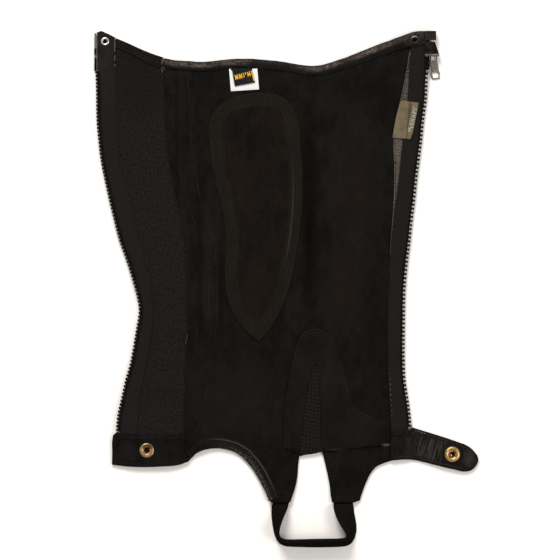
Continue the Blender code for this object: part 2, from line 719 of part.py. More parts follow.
def make_foot_strap():
    """Elastic webbing that leaves the wings flat and stands on its edge under the shoe."""
    sections = []
    for i, (outer, inner, width) in enumerate(FOOT_STRAP):
        shown = math.dist(outer, inner)
        inward = Vector(((inner[0] - outer[0]) / shown, (inner[1] - outer[1]) / shown))
        slant = math.hypot(width, WEBBING)
        tilt = 0.0
        if shown < width - 0.1:
            tilt = math.atan2(WEBBING, width) + math.acos(shown / slant)
        across = Vector((inward.x * math.cos(tilt), inward.y * math.cos(tilt), math.sin(tilt)))
        through = Vector((-inward.x * math.sin(tilt), -inward.y * math.sin(tilt), math.cos(tilt)))
        foot = Vector((*outer, 0)) + Vector((inward.x, inward.y, 0)) * (WEBBING * math.sin(tilt))
        span = width if tilt else shown
        ring = [(0, 0), (0.5, 0), (1, 0), (1, 1), (0.5, 1), (0, 1)]
        points = [foot + across * (span * u) + through * (WEBBING * v) for u, v in ring]
        sections.append([world((point.x, point.y), point.z) for point in points])
    return sweep("foot_strap", sections, webbing())


def make_snaps(tab, strap):
    """Brass snap: post back over a stud at the left, socket over a cap at the right."""
    def over(sheet, spot):
        return world(spot, sheet.top(spot) + GAP)

    post = [(2.8, 0), (7.2, 0), (7.55, 0.4), (7.1, 1.1), (6.0, 1.5), (4.6, 1.3), (3.4, 0.9), (2.8, 1.0)]
    turned("snap_post", post, over(tab, LEFT_SNAP), brass())
    stud = [(1.2, 0.3), (3.4, 0), (3.9, 0.6), (3.5, 1.5), (5.0, 2.1), (5.2, STUD_HEIGHT), (1.2, STUD_HEIGHT)]
    turned("snap_stud", stud, world(LEFT_SNAP, 0), brass())
    socket = [(3.5, 0), (7.7, 0), (8.05, 0.5), (7.8, 1.5), (6.8, 2.3), (5.2, 2.5), (4.0, 2.0), (3.5, 1.2)]
    turned("snap_socket", socket, over(strap, RIGHT_SNAP), brass())
    dome = [(1.0, 0), (5.2, 0.2), (7.0, 1.0), (7.5, 1.9), (6.6, CAP_HEIGHT), (1.0, CAP_HEIGHT)]
    turned("snap_cap", dome, world(RIGHT_SNAP, 0), brass())


def make_eyelet(name, spot, sheet, over, under):
    """A rolled metal ring set square to the cloth, from one level over its middle to another under it."""
    profile = [(EYELET_BORE, under - 0.8), (3.6, under - 0.8), (3.8, under - 0.4), (3.6, under),
               (2.5, under), (2.5, over), (3.9, over), (4.2, over + 0.4), (3.7, over + 0.9),
               (2.7, over + 0.9), (EYELET_BORE, over + 0.4)]
    eyelet = turned(name, profile, Vector(), nickel(), sides=16)
    reach = 3.0
    slopes = []
    for across, down in ((reach, 0), (0, -reach)):
        ahead = lift((spot[0] + across, spot[1] + down))
        behind = lift((spot[0] - across, spot[1] - down))
        slopes.append((ahead - behind) / (2 * reach))
    upright = Vector((-slopes[0], -slopes[1], 1)).normalized()
    centre = world(spot, sheet.bottom(spot) + TAPE / 2)
    eyelet.matrix_world = Matrix.Translation(centre) @ upright.to_track_quat("Z", "Y").to_matrix().to_4x4()
    return eyelet


def eyelet_cutter(spot):
    """Guide for the hole that an eyelet lines."""
    radius = 3.0
    loop = [(spot[0] + radius * math.cos(math.pi * k / 8), spot[1] + radius * math.sin(math.pi * k / 8))
            for k in range(16)]
    return prism("eyelet_hole", loop[::-1], -5, 30, dark_metal())


def make_slider(middle):
    """The slider body, with a mouth and a slot for the teeth, and the bail under it."""
    low, high = middle - SLIDER_HEIGHT / 2, middle + SLIDER_HEIGHT / 2
    body = [(424.5, 42.4), (434.2, 42.4), (436, 48), (438.8, 56), (438.4, 57), (425, 57), (424.5, 56)]
    slider = prism("zip_slider", body, low, high, dark_metal())
    half_slot, half_mouth = 0.9, 2.1
    slot = [(423, 41), (429, 41), (429, 59), (423, 59)]
    mouth = [(425.8, 54), (431.5, 54), (431.5, 59), (425.8, 59)]
    pierce(slider, prism("slider_slot", slot, middle - half_slot, middle + half_slot, dark_metal()))
    pierce(slider, prism("slider_mouth", mouth, middle - half_mouth, middle + half_mouth, dark_metal()))
    return slider


def make_pull(hinge, tilt, lean):
    """The pull tab: a loop round the bail, a plate and an open ring, hung from the hinge."""
    # Distance along the pull from the hinge, and half the width there, for each stretch
    bar, hole_end, plate_end, ring_hole, tip = 0.6, 11.4, 21.5, 28.2, 29.6
    half_top, half_plate, half_ring, half_tip = 3.1, 3.7, 4.6, 4.2
    wire = 1.1
    half_thick = 0.6
    outer = [(-bar, half_top), (hole_end, half_plate), (plate_end, half_plate + 0.2),
             (plate_end + 2, half_ring), (tip - 1, half_tip), (tip, half_tip - 1)]
    bm = bmesh.new()
    rim = outer + [(along, -half) for along, half in reversed(outer)]
    loop = [(bar, half_top - wire), (hole_end, half_plate - wire)]
    upper_hole = loop + [(along, -half) for along, half in reversed(loop)]
    loop = [(plate_end + 1.2, half_plate - 0.6), (ring_hole, half_tip - 1.4)]
    lower_hole = loop + [(along, -half) for along, half in reversed(loop)]
    points, edges = [], []
    for line in (rim, upper_hole, lower_hole):
        first = len(points)
        points += line
        edges += [(first + i, first + (i + 1) % len(line)) for i in range(len(line))]
    net = delaunay_2d_cdt([Vector(point) for point in points], edges, [], 0, 0.001)
    lower, upper = {}, {}
    for face in net[2]:
        centre = [sum(net[0][i][axis] for i in face) / len(face) for axis in (0, 1)]
        if is_inside(centre, upper_hole) or is_inside(centre, lower_hole) or not is_inside(centre, rim):
            continue
        for i in face:
            if i not in lower:
                along, side = net[0][i]
                lower[i] = bm.verts.new(Vector((side, -along, -half_thick)) * MM)
                upper[i] = bm.verts.new(Vector((side, -along, half_thick)) * MM)
        bm.faces.new([lower[i] for i in face])
        bm.faces.new([upper[i] for i in reversed(face)])
    above = {lower[i]: upper[i] for i in lower}
    for edge in [edge for edge in bm.edges if edge.is_boundary]:
        if edge.verts[0] in above:
            a, b = edge.verts
            bm.faces.new([a, b, above[b], above[a]])
    pull = add_object("zip_pull", bm, nickel())
    pull.matrix_world = Matrix.Translation(hinge) @ Matrix.Rotation(lean, 4, "Z") @ Matrix.Rotation(tilt, 4, "X")
    return pull


def make_bail(hinge, low):
    """The staple under the slider that holds the pull tab's loop."""
    depth, reach, wall, half = 1.9, 3.4, 1.0, 1.1
    profile = [(-reach, 0), (-reach, -depth - wall), (reach, -depth - wall), (reach, 0),
               (reach - wall, 0), (reach - wall, -depth), (-reach + wall, -depth), (-reach + wall, 0)]
    top = low - GAP * 0.1
    sections = [[Vector((hinge.x + x * MM, hinge.y + along * MM, (top + z) * MM)) for along, z in profile]
                for x in (-half, half)]
    return sweep("zip_bail", sections, dark_metal())


def make_zip_ends(left_tape, right_tape):
    """Pin at the left zip's top, and box, slider, stop and pull tab at the right zip's top."""
    held = (98.2, 50)
    pin_height = left_tape.bottom(held) + TAPE / 2
    pin_across, rounded_end = 95.6, 0.7
    sides = 8
    sections = []
    for down, share in ((33.6, rounded_end), (34.4, 1), (60, 1), (71.6, 1)):
        radius = PIN_RADIUS * share
        angles = [2 * math.pi * k / sides for k in range(sides)]
        ring = [(pin_across + radius * math.cos(angle), radius * math.sin(angle)) for angle in angles]
        sections.append([world((across, down), pin_height + rise) for across, rise in ring])
    sweep("zip_pin", sections, nickel())

    middle = right_tape.bottom((423.5, 49)) + TAPE / 2
    box = [(424.6, 31.5), (435.5, 31.5), (435.5, 40.8), (424.6, 40.8)]
    prism("zip_box", box, middle - BOX_HEIGHT / 2, middle + BOX_HEIGHT / 2, black_plastic())
    make_slider(middle)

    low = middle - SLIDER_HEIGHT / 2
    hinge = world((431.8, 50.4), low - 0.95)
    make_bail(hinge, low)
    pull_length, half_thick = 29.6, 0.6
    tilt = math.asin((hinge.z / MM - half_thick - 0.05) / pull_length)
    make_pull(hinge, tilt, math.radians(7))
    return hinge


def clear_scene():
    for item in list(bpy.data.objects):
        bpy.data.objects.remove(item, do_unlink=True)


def build():
    clear_scene()
    elastic = elastic_sheet()
    leg = leg_sheet(elastic)
    calf = calf_sheet(leg)
    overlay = overlay_sheet(leg)
    gusset = gusset_sheet()
    facing = facing_sheet(leg)
    left_tape = left_tape_sheet(elastic)
    right_tape = right_tape_sheet(leg, facing)
    tab = tab_sheet(elastic, left_tape, leg)
    strap = strap_sheet(leg, right_tape)
    white, black, side = label_sheets(leg, right_tape, facing)

    make_sheet("elastic_panel", elastic, elastic_knit())
    make_sheet("elastic_hem", hem_sheet(elastic), elastic_knit())
    leg_piece = make_sheet("leg_panel", leg, suede())
    make_sheet("calf_insert", calf, suede())
    make_sheet("instep_overlay", overlay, suede())
    make_sheet("instep_gusset", gusset, elastic_knit())
    make_sheet("zip_facing", facing, grain_leather())
    left_piece = make_sheet("zip_tape_left", left_tape, zip_cloth())
    right_piece = make_sheet("zip_tape_right", right_tape, zip_cloth())
    make_sheet("snap_tab", tab, suede(), spacing=9)
    make_sheet("snap_strap", strap, grain_leather(), spacing=9)
    make_sheet("white_label", white, material("white_satin", (234, 234, 233), 0.6))
    make_sheet("black_label", black, material("black_satin", (30, 28, 28), 0.6))
    make_sheet("side_label", side, material("olive_ribbon", (119, 107, 83), 0.7))

    top_under = [(164.2, 6.5), (395, 6.5), (408, 13), (424.1, 13)]
    top_binding = make_binding("top_binding", TOP_EDGE, 1, TOP_BINDING_WIDTH, top_under, leg,
                               [leg, right_tape], grain_leather())
    arch_under = [(190.8, 4.5), (255, 4.5), (266, 0.8)]
    make_binding("arch_binding", ARCH_EDGE, -1, [(190.8, 6), (202, 12), (260, 12), (268.2, 10)], arch_under,
                 leg, [leg], grain_leather())

    make_teeth("zip_teeth_left", LEFT_TEETH, -1, left_tape, black_plastic())
    make_teeth("zip_teeth_right", RIGHT_TEETH, 1, right_tape, black_plastic())
    make_zip_ends(left_tape, right_tape)
    make_snaps(tab, strap)
    make_foot_strap()

    pierce(left_piece, eyelet_cutter(LEFT_EYELET))
    flat = TAPE / 2 + GAP
    make_eyelet("eyelet_left", LEFT_EYELET, left_tape, flat, -flat)
    right_hole = eyelet_cutter(RIGHT_EYELET)
    for piece in (right_piece, leg_piece, top_binding):
        pierce(piece, right_hole)
    over_binding = flat + FACING + 1.1 * BINDING + 3 * GAP
    under_binding = flat + LEATHER + BINDING + 4 * GAP
    make_eyelet("eyelet_right", RIGHT_EYELET, right_tape, over_binding, -under_binding)


build()
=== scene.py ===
# %% [markdown]
# This lesson dresses the plain solids of a half chap, a leather legging for riding that zips
# round the calf. It lies open and flat with its suede inside up, so almost every piece is a sheet
# of leather, knit or tape. The solids already have the true outlines and heights, so each sheet
# starts as a welded copy of its solid and gets its softness, edges, relief and stitching here.

import math
import random

import bpy
from mathutils import Matrix, Vector, noise
from mathutils.bvhtree import BVHTree

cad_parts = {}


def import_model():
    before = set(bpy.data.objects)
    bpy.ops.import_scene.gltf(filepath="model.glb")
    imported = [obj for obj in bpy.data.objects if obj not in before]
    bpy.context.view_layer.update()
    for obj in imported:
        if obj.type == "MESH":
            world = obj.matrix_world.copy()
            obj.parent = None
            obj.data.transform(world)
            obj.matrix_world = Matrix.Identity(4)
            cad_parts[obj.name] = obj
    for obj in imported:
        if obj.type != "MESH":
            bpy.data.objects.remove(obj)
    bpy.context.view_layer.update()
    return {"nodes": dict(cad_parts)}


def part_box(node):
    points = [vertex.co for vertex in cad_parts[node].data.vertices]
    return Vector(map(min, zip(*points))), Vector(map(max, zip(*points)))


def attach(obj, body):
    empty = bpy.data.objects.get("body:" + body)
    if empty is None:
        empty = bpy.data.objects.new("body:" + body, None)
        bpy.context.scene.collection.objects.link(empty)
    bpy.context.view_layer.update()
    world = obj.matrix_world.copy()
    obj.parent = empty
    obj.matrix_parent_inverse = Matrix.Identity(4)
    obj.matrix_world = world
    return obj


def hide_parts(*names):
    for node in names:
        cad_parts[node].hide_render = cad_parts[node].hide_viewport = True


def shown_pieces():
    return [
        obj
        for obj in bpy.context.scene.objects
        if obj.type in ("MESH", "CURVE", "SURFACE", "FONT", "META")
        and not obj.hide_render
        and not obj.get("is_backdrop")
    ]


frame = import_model()
nodes = frame["nodes"]
chance = random.Random(11)
print("the frame has", len(nodes), "nodes")

# %% [markdown]
# Positions on the piece are easiest to think of as millimetres across and down a cutting table.
# The table's centre is where the solids have their origin.

# %% Places on the cutting table
MM = 0.001
TABLE_CENTRE = (286.175, 288.975)


def world(spot, height=0.0):
    """A place on the table, with its height in metres, as a point in the frame."""
    return Vector(((spot[0] - TABLE_CENTRE[0]) * MM, (TABLE_CENTRE[1] - spot[1]) * MM, height))


def on_table(point):
    return (point[0] / MM + TABLE_CENTRE[0], TABLE_CENTRE[1] - point[1] / MM)


print("the middle of the picture is at", world((280, 280)))

# %% [markdown]
# The picture is taken from straight above, square to the floor. A very long lens from twelve
# metres up keeps the raised foot strap from leaning outwards.

# %% Camera
VIEW_CENTRE = (279.75, 280)
VIEW_WIDTH = 558.9 * MM
CAMERA_HEIGHT = 12.0
SENSOR = 36.0

bpy.ops.object.camera_add(location=world(VIEW_CENTRE, CAMERA_HEIGHT), rotation=(0, 0, 0))
camera = bpy.context.object
camera.name = "photo_camera"
camera.data.sensor_width = SENSOR
camera.data.lens = SENSOR * CAMERA_HEIGHT / VIEW_WIDTH
camera.data.clip_end = 50
bpy.context.scene.camera = camera
print("lens", round(camera.data.lens, 1), "mm")

# %% [markdown]
# Shader maths is easier to check when it reads as an expression. A Wire is one output of a
# material's nodes, and adding or multiplying wires adds the Math nodes. A Finish is one material,
# with a single method that adds any other node.

# %% Materials as expressions
class Wire:
    """One output in a material's nodes."""

    def __init__(self, finish, socket):
        self.finish = finish
        self.socket = socket

    def maths(self, operation, first, second=0.0, clamp=False):
        return self.finish.node("Math", {"operation": operation, "use_clamp": clamp}, {0: first, 1: second})

    def __add__(self, other):
        return self.maths("ADD", self, other)

    def __sub__(self, other):
        return self.maths("SUBTRACT", self, other)

    def __rsub__(self, other):
        return self.maths("SUBTRACT", other, self)

    def __mul__(self, other):
        return self.maths("MULTIPLY", self, other)

    def __pow__(self, other):
        return self.maths("POWER", self, other)

    __radd__ = __add__
    __rmul__ = __mul__

    def sine(self):
        return self.maths("SINE", self)

    def size(self):
        return self.maths("ABSOLUTE", self)

    def clipped(self):
        return self.maths("ADD", self, 0.0, clamp=True)

    def contrast(self, strength, middle=0.5):
        """Spreads values round a middle and clips them to 0 and 1."""
        return ((self - middle) * strength + 0.5).clipped()


class Finish:
    """One material and its nodes."""

    def __init__(self, name, **constants):
        self.material = bpy.data.materials.new(name)
        self.material.use_nodes = True
        self.tree = self.material.node_tree
        self.shader = self.tree.nodes["Principled BSDF"]
        self.place = self.node("TexCoord", output="Object")
        for socket, value in constants.items():
            self.feed(socket.replace("_", " "), value)

    def node(self, kind, settings=None, sockets=None, output=0):
        """Adds a node: its settings first, then the values or wires of its sockets."""
        new = self.tree.nodes.new("ShaderNode" + kind)
        for key, value in (settings or {}).items():
            setattr(new, key, value)
        for key, value in (sockets or {}).items():
            if isinstance(value, Wire):
                self.tree.links.new(value.socket, new.inputs[key])
            else:
                new.inputs[key].default_value = value
        return Wire(self, new.outputs[output])

    def feed(self, socket, value):
        """Sets one of the shader's own sockets to a value, or wires it."""
        if isinstance(value, Wire):
            self.tree.links.new(value.socket, self.shader.inputs[socket])
        else:
            self.shader.inputs[socket].default_value = value

    def grain(self, size, detail=2.0, stretch=(1, 1, 1), source=None):
        """Noise whose blotches are about this many millimetres across, stretched if need be."""
        scale = [1 / (size * MM * part) for part in stretch]
        place = self.node("Mapping", None, {"Vector": source or self.place, "Scale": scale})
        return self.node("TexNoise", None, {"Vector": place, "Scale": 1.0, "Detail": detail})

    def pebbles(self, size):
        """Distance from the nearest of many scattered cells, for leather grain."""
        scale = [1 / (size * MM)] * 3
        place = self.node("Mapping", None, {"Vector": self.place, "Scale": scale})
        return self.node("TexVoronoi", None, {"Vector": place, "Scale": 1.0}, "Distance")

    def parts(self, vector, axes="XY"):
        """The separate coordinates of a wire that holds a place."""
        return [self.node("SeparateXYZ", None, {0: vector}, axis) for axis in axes]

    def along_seam(self):
        """How far a point is across and along the line that its piece follows, in metres."""
        uv = self.node("UVMap", {"uv_map": "seam"}, None, "UV")
        return uv, *self.parts(uv)

    def spot(self, centre, reach):
        """A soft patch on the table: 1 at its middle and 0 past its reach, in millimetres."""
        middle = world(centre)
        away = [(part - middle[i]) * (1 / (reach[i] * MM)) for i, part in enumerate(self.parts(self.place))]
        return (1 - (away[0] * away[0] + away[1] * away[1])).clipped() ** 1.5

    def mix(self, share, first, second):
        """Two colours mixed by a wire."""
        return self.node("Mix", {"data_type": "RGBA"}, {0: share, 6: first, 7: second}, 2)

    def relief(self, height, depth):
        """A bump whose full height is this many millimetres."""
        bump = self.node("Bump", None, {"Height": height, "Distance": depth * MM, "Strength": 1.0})
        self.feed("Normal", bump)


FLOOR_LIGHT = 1.45


def seen(red, green, blue, share=1.0):
    """The base colour that is seen as this screen colour under the studio light."""
    values = [c / 255 for c in (red, green, blue)]
    linear = [((v + 0.055) / 1.055) ** 2.4 if v > 0.04 else v / 12.92 for v in values]
    return (*[min(1.0, v * share / FLOOR_LIGHT) for v in linear], 1.0)


print("black suede's base colour is", [round(v, 4) for v in seen(25, 22, 20)])

# %% [markdown]
# The studio is a pale floor under two soft panels of light, with an even pale room all round, so
# that black leather shows its form by soft reflections alone.

# %% Floor and light
bpy.ops.mesh.primitive_plane_add(size=14, location=(0, 0, -0.0004))
floor = bpy.context.object
floor.name = "floor"
floor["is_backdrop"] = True
paper = Finish("pale_floor", Roughness=0.9, Specular_IOR_Level=0.1)
paper.feed("Base Color", paper.mix(paper.grain(900), (0.9, 0.9, 0.9, 1), (0.93, 0.93, 0.925, 1)))
floor.data.materials.append(paper.material)

room = bpy.data.worlds.new("pale_room")
room.use_nodes = True
room.node_tree.nodes["Background"].inputs["Color"].default_value = (1.0, 0.96, 0.92, 1)
room.node_tree.nodes["Background"].inputs["Strength"].default_value = 0.5
bpy.context.scene.world = room
bpy.context.scene.view_settings.view_transform = "Standard"

# Each panel: its place, its width and its power
PANELS = [((-0.5, 1.9, 1.9), 1.3, 70), ((1.7, -0.5, 2.1), 1.1, 26)]
PANEL_COLOUR = (1.0, 0.94, 0.88)
for place, width, power in PANELS:
    bpy.ops.object.light_add(type="AREA", location=place)
    panel = bpy.context.object
    panel.data.shape = "DISK"
    panel.data.size = width
    panel.data.energy = power
    panel.data.color = PANEL_COLOUR
    panel.rotation_euler = (-Vector(place)).to_track_quat("-Z", "Y").to_euler()
print("panels", len(PANELS))

# %% [markdown]
# Every finished piece is handed over in the same way, with its finish, the body that it rides on
# and the nodes that it replaces. The surfaces of the cloth pieces are remembered, and a line
# dropped on them is how thread and teeth find their height.

# %% Selecting, welding and finishing pieces
skins = {}
WELD = 0.01 * MM
# A face whose normal points lower than this belongs to the outer side
LOOKS_DOWN = -0.3


def only(piece):
    """Makes one piece the only selected one, and active."""
    bpy.ops.object.select_all(action="DESELECT")
    piece.select_set(True)
    bpy.context.view_layer.objects.active = piece


def apply(piece, kind, **settings):
    """Adds a modifier and applies it."""
    only(piece)
    modifier = piece.modifiers.new(kind.lower(), kind)
    for key, value in settings.items():
        setattr(modifier, key, value)
    bpy.ops.object.modifier_apply(modifier=modifier.name)


def bevel(piece, width, angle, segments=2):
    """Rounds the edges that turn by more than an angle, to a width in millimetres."""
    apply(piece, "BEVEL", width=width * MM, segments=segments, limit_method="ANGLE",
          angle_limit=math.radians(angle))


def edit(piece, *steps):
    """Runs edit-mode steps on all of a piece. Each is an operator's name and its settings."""
    only(piece)
    bpy.ops.object.mode_set(mode="EDIT")
    bpy.ops.mesh.select_all(action="SELECT")
    for operator, settings in steps:
        getattr(bpy.ops.mesh, operator)(**settings)
    bpy.ops.object.mode_set(mode="OBJECT")


def edit_faces(piece, wanted, *steps):
    """Runs edit-mode steps on the faces that a test picks."""
    only(piece)
    bpy.ops.object.mode_set(mode="EDIT")
    bpy.ops.mesh.select_mode(type="FACE")
    bpy.ops.mesh.select_all(action="DESELECT")
    bpy.ops.object.mode_set(mode="OBJECT")
    for face in piece.data.polygons:
        face.select = wanted(face)
    bpy.ops.object.mode_set(mode="EDIT")
    for operator, settings in steps:
        area, name = operator.split(".") if "." in operator else ("mesh", operator)
        getattr(getattr(bpy.ops, area), name)(**settings)
    bpy.ops.mesh.select_mode(type="VERT")
    bpy.ops.object.mode_set(mode="OBJECT")


def welded_copy(node, name):
    """A copy of a node's solid with its loose triangles welded."""
    piece = bpy.data.objects.new(name, nodes[node].data.copy())
    bpy.context.collection.objects.link(piece)
    piece.data.materials.clear()
    only(piece)
    bpy.ops.mesh.customdata_custom_splitnormals_clear()
    edit(piece, ("remove_doubles", {"threshold": WELD}))
    return piece


def settle(name, sizes=(1, 1, 1)):
    """Names the shape just added, stretches it, and fixes its place and turn in its mesh."""
    piece = bpy.context.object
    piece.name = name
    piece.scale = sizes
    bpy.ops.object.transform_apply(location=True, rotation=True, scale=True)
    return piece


def smooth_by(piece, degrees):
    only(piece)
    bpy.ops.object.shade_smooth_by_angle(angle=math.radians(degrees))


def hand_over(piece, finish, slot, *replaced, outside=None, body="chap"):
    """Gives a finished piece its materials, its body and the nodes that it stands for.
    Where the piece has another finish outside, that one goes on the faces that look down."""
    piece.data.materials.append(finish.material)
    if outside:
        piece.data.materials.append(outside.material)
        for face in piece.data.polygons:
            face.material_index = 1 if face.normal.z < LOOKS_DOWN else 0
    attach(piece, body)
    if replaced:
        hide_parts(*replaced)
    heights = [vertex.co.z / MM for vertex in piece.data.vertices]
    highest = min(on_table(vertex.co)[1] for vertex in piece.data.vertices)
    print(piece.name, len(piece.data.polygons), "faces,", round(min(heights), 2), "to",
          round(max(heights), 2), "mm high, its top at", round(highest, 1))


def remember(piece):
    """Keeps a piece's surface, so that thread and fittings can be set on it."""
    points = [vertex.co.copy() for vertex in piece.data.vertices]
    skins[piece.name] = BVHTree.FromPolygons(points, [tuple(face.vertices) for face in piece.data.polygons])


def height_on(spot, names, under=False):
    """The height in metres of the highest of the named pieces at a place, or of the lowest from below."""
    start = world(spot, -0.1 if under else 0.1)
    hits = [skins[name].ray_cast(start, Vector((0, 0, 1 if under else -1)))[0] for name in names]
    heights = [hit.z for hit in hits if hit is not None]
    if not heights:
        return None
    return min(heights) if under else max(heights)


# %% [markdown]
# Seams, teeth and folds all follow curves on the table. A smooth curve runs through a few
# measured places, and a line beside it keeps one distance.

# %% Curves on the table
def curve_through(points, step=2.0):
    """Places about one step apart on a smooth curve through the given ones."""
    ends = [points[0], *points, points[-1]]
    path = []
    for before, start, end, after in zip(ends, ends[1:], ends[2:], ends[3:]):
        count = max(1, round(math.dist(start, end) / step))
        for k in range(count):
            t = k / count
            path.append(tuple(
                start[i] + 0.5 * t * (end[i] - before[i] + t * (
                    2 * before[i] - 5 * start[i] + 4 * end[i] - after[i]
                    + t * (3 * (start[i] - end[i]) + after[i] - before[i])))
                for i in (0, 1)
            ))
    return path + [tuple(points[-1])]


def beside(path, distance):
    """A line moved sideways, to the right of its own direction on the table."""
    moved = []
    for i, point in enumerate(path):
        before, after = path[max(i - 1, 0)], path[min(i + 1, len(path) - 1)]
        length = math.dist(before, after) or 1.0
        moved.append((point[0] - (after[1] - before[1]) / length * distance,
                      point[1] + (after[0] - before[0]) / length * distance))
    return moved


def steps_along(path, pitch, start=0.0):
    """Places one pitch apart along a path, each with the direction there."""
    found = []
    due = start
    walked = 0.0
    for a, b in zip(path, path[1:]):
        length = math.dist(a, b)
        while length > 0 and walked + length >= due:
            t = (due - walked) / length
            direction = ((b[0] - a[0]) / length, (b[1] - a[1]) / length)
            found.append(((a[0] + (b[0] - a[0]) * t, a[1] + (b[1] - a[1]) * t), direction))
            due += pitch
        walked += length
    return found


def nearest_on(path, spot):
    """How far a place is across from a path, to its right, and how far along it."""
    best = (math.inf, 0.0, 0.0)
    walked = 0.0
    for a, b in zip(path, path[1:]):
        dx, dy = b[0] - a[0], b[1] - a[1]
        length = math.hypot(dx, dy) or 1.0
        t = min(1.0, max(0.0, ((spot[0] - a[0]) * dx + (spot[1] - a[1]) * dy) / length**2))
        away = math.hypot(spot[0] - a[0] - t * dx, spot[1] - a[1] - t * dy)
        if away < best[0]:
            side = dx * (spot[1] - a[1]) - dy * (spot[0] - a[0])
            best = (away, math.copysign(away, side), walked + t * length)
        walked += length
    return best[1], best[2]


def follow(piece, path):
    """Unwraps a piece along a line, so that a weave can run with it. The map is in metres."""
    layer = piece.data.uv_layers.new(name="seam")
    where = [nearest_on(path, on_table(vertex.co)) for vertex in piece.data.vertices]
    for loop in piece.data.loops:
        across, along = where[loop.vertex_index]
        layer.data[loop.index].uv = (across * MM, along * MM)


TOP_EDGE = [
    (164.2, 58.4), (172, 60), (188, 61.2), (204, 62.2), (220, 60.2), (236, 59), (252, 59), (268, 60.3),
    (284, 62), (300, 65), (316, 66.2), (332, 62), (348, 56.5), (372, 47), (388, 41), (402, 35.6), (411, 32.2),
    (418, 31), (424.1, 31.3),
]
ARCH_EDGE = [
    (190.8, 458), (194, 455), (199, 452), (204, 450), (212, 448.2), (220, 448.3), (228, 450), (234, 452),
    (239, 454.8), (243, 457.5), (250, 465.5), (256, 474), (260, 482), (264, 490), (266, 494), (268.2, 500.6),
]
LEFT_TEETH = [
    (95.2, 72), (95.8, 90), (96.3, 120), (98, 140), (100.3, 160), (104.3, 180), (108.7, 200), (113.5, 220),
    (118.7, 240), (125.8, 260), (132, 280), (137.2, 300), (138.3, 312), (135.5, 330), (130.2, 360),
    (124.8, 380), (120.3, 400), (117, 415), (115.7, 430.6),
]
RIGHT_TEETH = [
    (428.3, 57.8), (428.2, 70), (427.5, 80), (426.5, 100), (424, 120), (422, 140), (419.5, 160), (417, 180),
    (415, 200), (412.5, 220), (410.5, 240), (408, 260), (406, 280), (405, 300), (404.5, 340), (404.5, 360),
    (405.5, 380), (408.5, 400), (410.5, 415), (411.6, 427),
]
LEFT_TAPE_EDGE = [
    (115.6, 38.4), (115.6, 71), (116, 115), (117.4, 137), (119.6, 159), (124, 181), (128.4, 196),
    (138.7, 240), (144.5, 262), (150.4, 284), (151.9, 306), (151.9, 328), (149, 350), (141.6, 387),
    (135.7, 434),
]
RIGHT_TAPE_EDGE = [
    (411, 45), (410.3, 50), (408, 79), (407.4, 93), (405, 116), (402, 142), (399.3, 167), (397, 187),
    (394, 211), (390.5, 243), (389, 275), (387.6, 310), (387.6, 372), (390, 416), (390.6, 431),
]
FACING_EDGE = [
    (409.2, 49.4), (404.4, 79), (401.5, 93), (396.4, 115), (393, 137), (393.6, 167), (393.4, 196), (392, 218),
    (390.3, 240), (389.5, 255),
]
LEFT_SNAP = (146.9, 449.8)
RIGHT_SNAP = (451.6, 453.8)
CALF_OUTLINE = [
    (259, 342), (242.6, 328), (229.6, 306), (224.6, 276), (226, 240), (222, 209), (213, 172), (209, 142),
    (209, 123), (214, 111), (224, 102), (238, 96), (254, 93), (268, 93.2), (280, 95.5), (289, 102),
    (295, 112), (300.5, 149), (302.5, 187), (300.5, 224), (295, 261), (285.6, 299), (272.5, 325),
    (259, 342),
]
ARCH_OF_OVERLAY = [
    (283.5, 447.4), (284, 416), (286.4, 392.5), (291.5, 364.6), (296.7, 342.6), (300.5, 334.5), (306, 329.6),
    (315.7, 327.8), (326, 331), (331, 335.5), (335, 342), (342, 362), (346.5, 384), (350.5, 396),
    (355.3, 406), (360, 410.5), (366, 413.5), (375, 417.3), (389.6, 421.6),
]
print("the left tooth row is", round(len(curve_through(LEFT_TEETH, 1.0))), "mm long")

# %% [markdown]
# Leather and knit never lie dead flat. A few long folds are listed, each with its own
# reach and height, and a slow waviness runs over all of it. One function gives the relief at a
# place, and every layer there moves by it together, so that stacked layers stay apart.

# %% Folds shared by all the layers
# The places that each fold runs through, how far it reaches to either side, and its height
FOLDS = [
    ([(309, 66), (307, 150), (306, 230), (310, 320)], 10, -0.5),
    ([(214, 96), (207, 150), (213, 200), (221, 250), (221, 310)], 7, 0.55),
    ([(322, 92), (327, 160), (324, 240), (330, 300)], 12, 0.6),
    ([(372, 110), (366, 180), (368, 250), (361, 330)], 13, 0.8),
    ([(342, 300), (352, 340), (356, 385)], 12, 0.9),
    ([(232, 352), (238, 385), (255, 425), (262, 440)], 13, 1.0),
    ([(206, 352), (214, 395), (232, 432)], 12, 0.8),
    ([(270, 352), (270, 400), (266, 436)], 11, 0.9),
    ([(138, 84), (140, 130), (146, 190)], 11, 0.5),
    ([(158, 110), (160, 170), (169, 225), (172, 280), (168, 340)], 9, 0.6),
    ([(164, 360), (158, 395), (156, 428)], 10, 0.7),
    ([(326, 449), (352, 446.5), (379, 443.5), (389, 442.5)], 3.6, 1.0),
    ([(340, 470), (352, 461), (372, 456)], 6, 0.7),
    ([(253, 441), (270, 444.5), (287, 447)], 3.2, 0.7),
    ([(276, 462), (279, 478), (283, 492)], 6, 0.8),
    ([(344, 478), (345, 494)], 5, 0.6),
    ([(176, 96), (181, 150), (187, 186)], 5, 0.4),
    ([(205, 232), (208, 276), (206, 330)], 6, 0.45),
    ([(246, 70), (250, 92)], 8, 0.4),
    ([(356, 76), (380, 70), (398, 74)], 9, 0.6),
]
FOLD_PATHS = [(curve_through(points, 6), reach, height) for points, reach, height in FOLDS]
# The waviness: its middle height, and how far its long and its short waves move the cloth
WAVE_MIDDLE = 0.34
LONG_WAVES = 0.24
SHORT_WAVES = 0.1


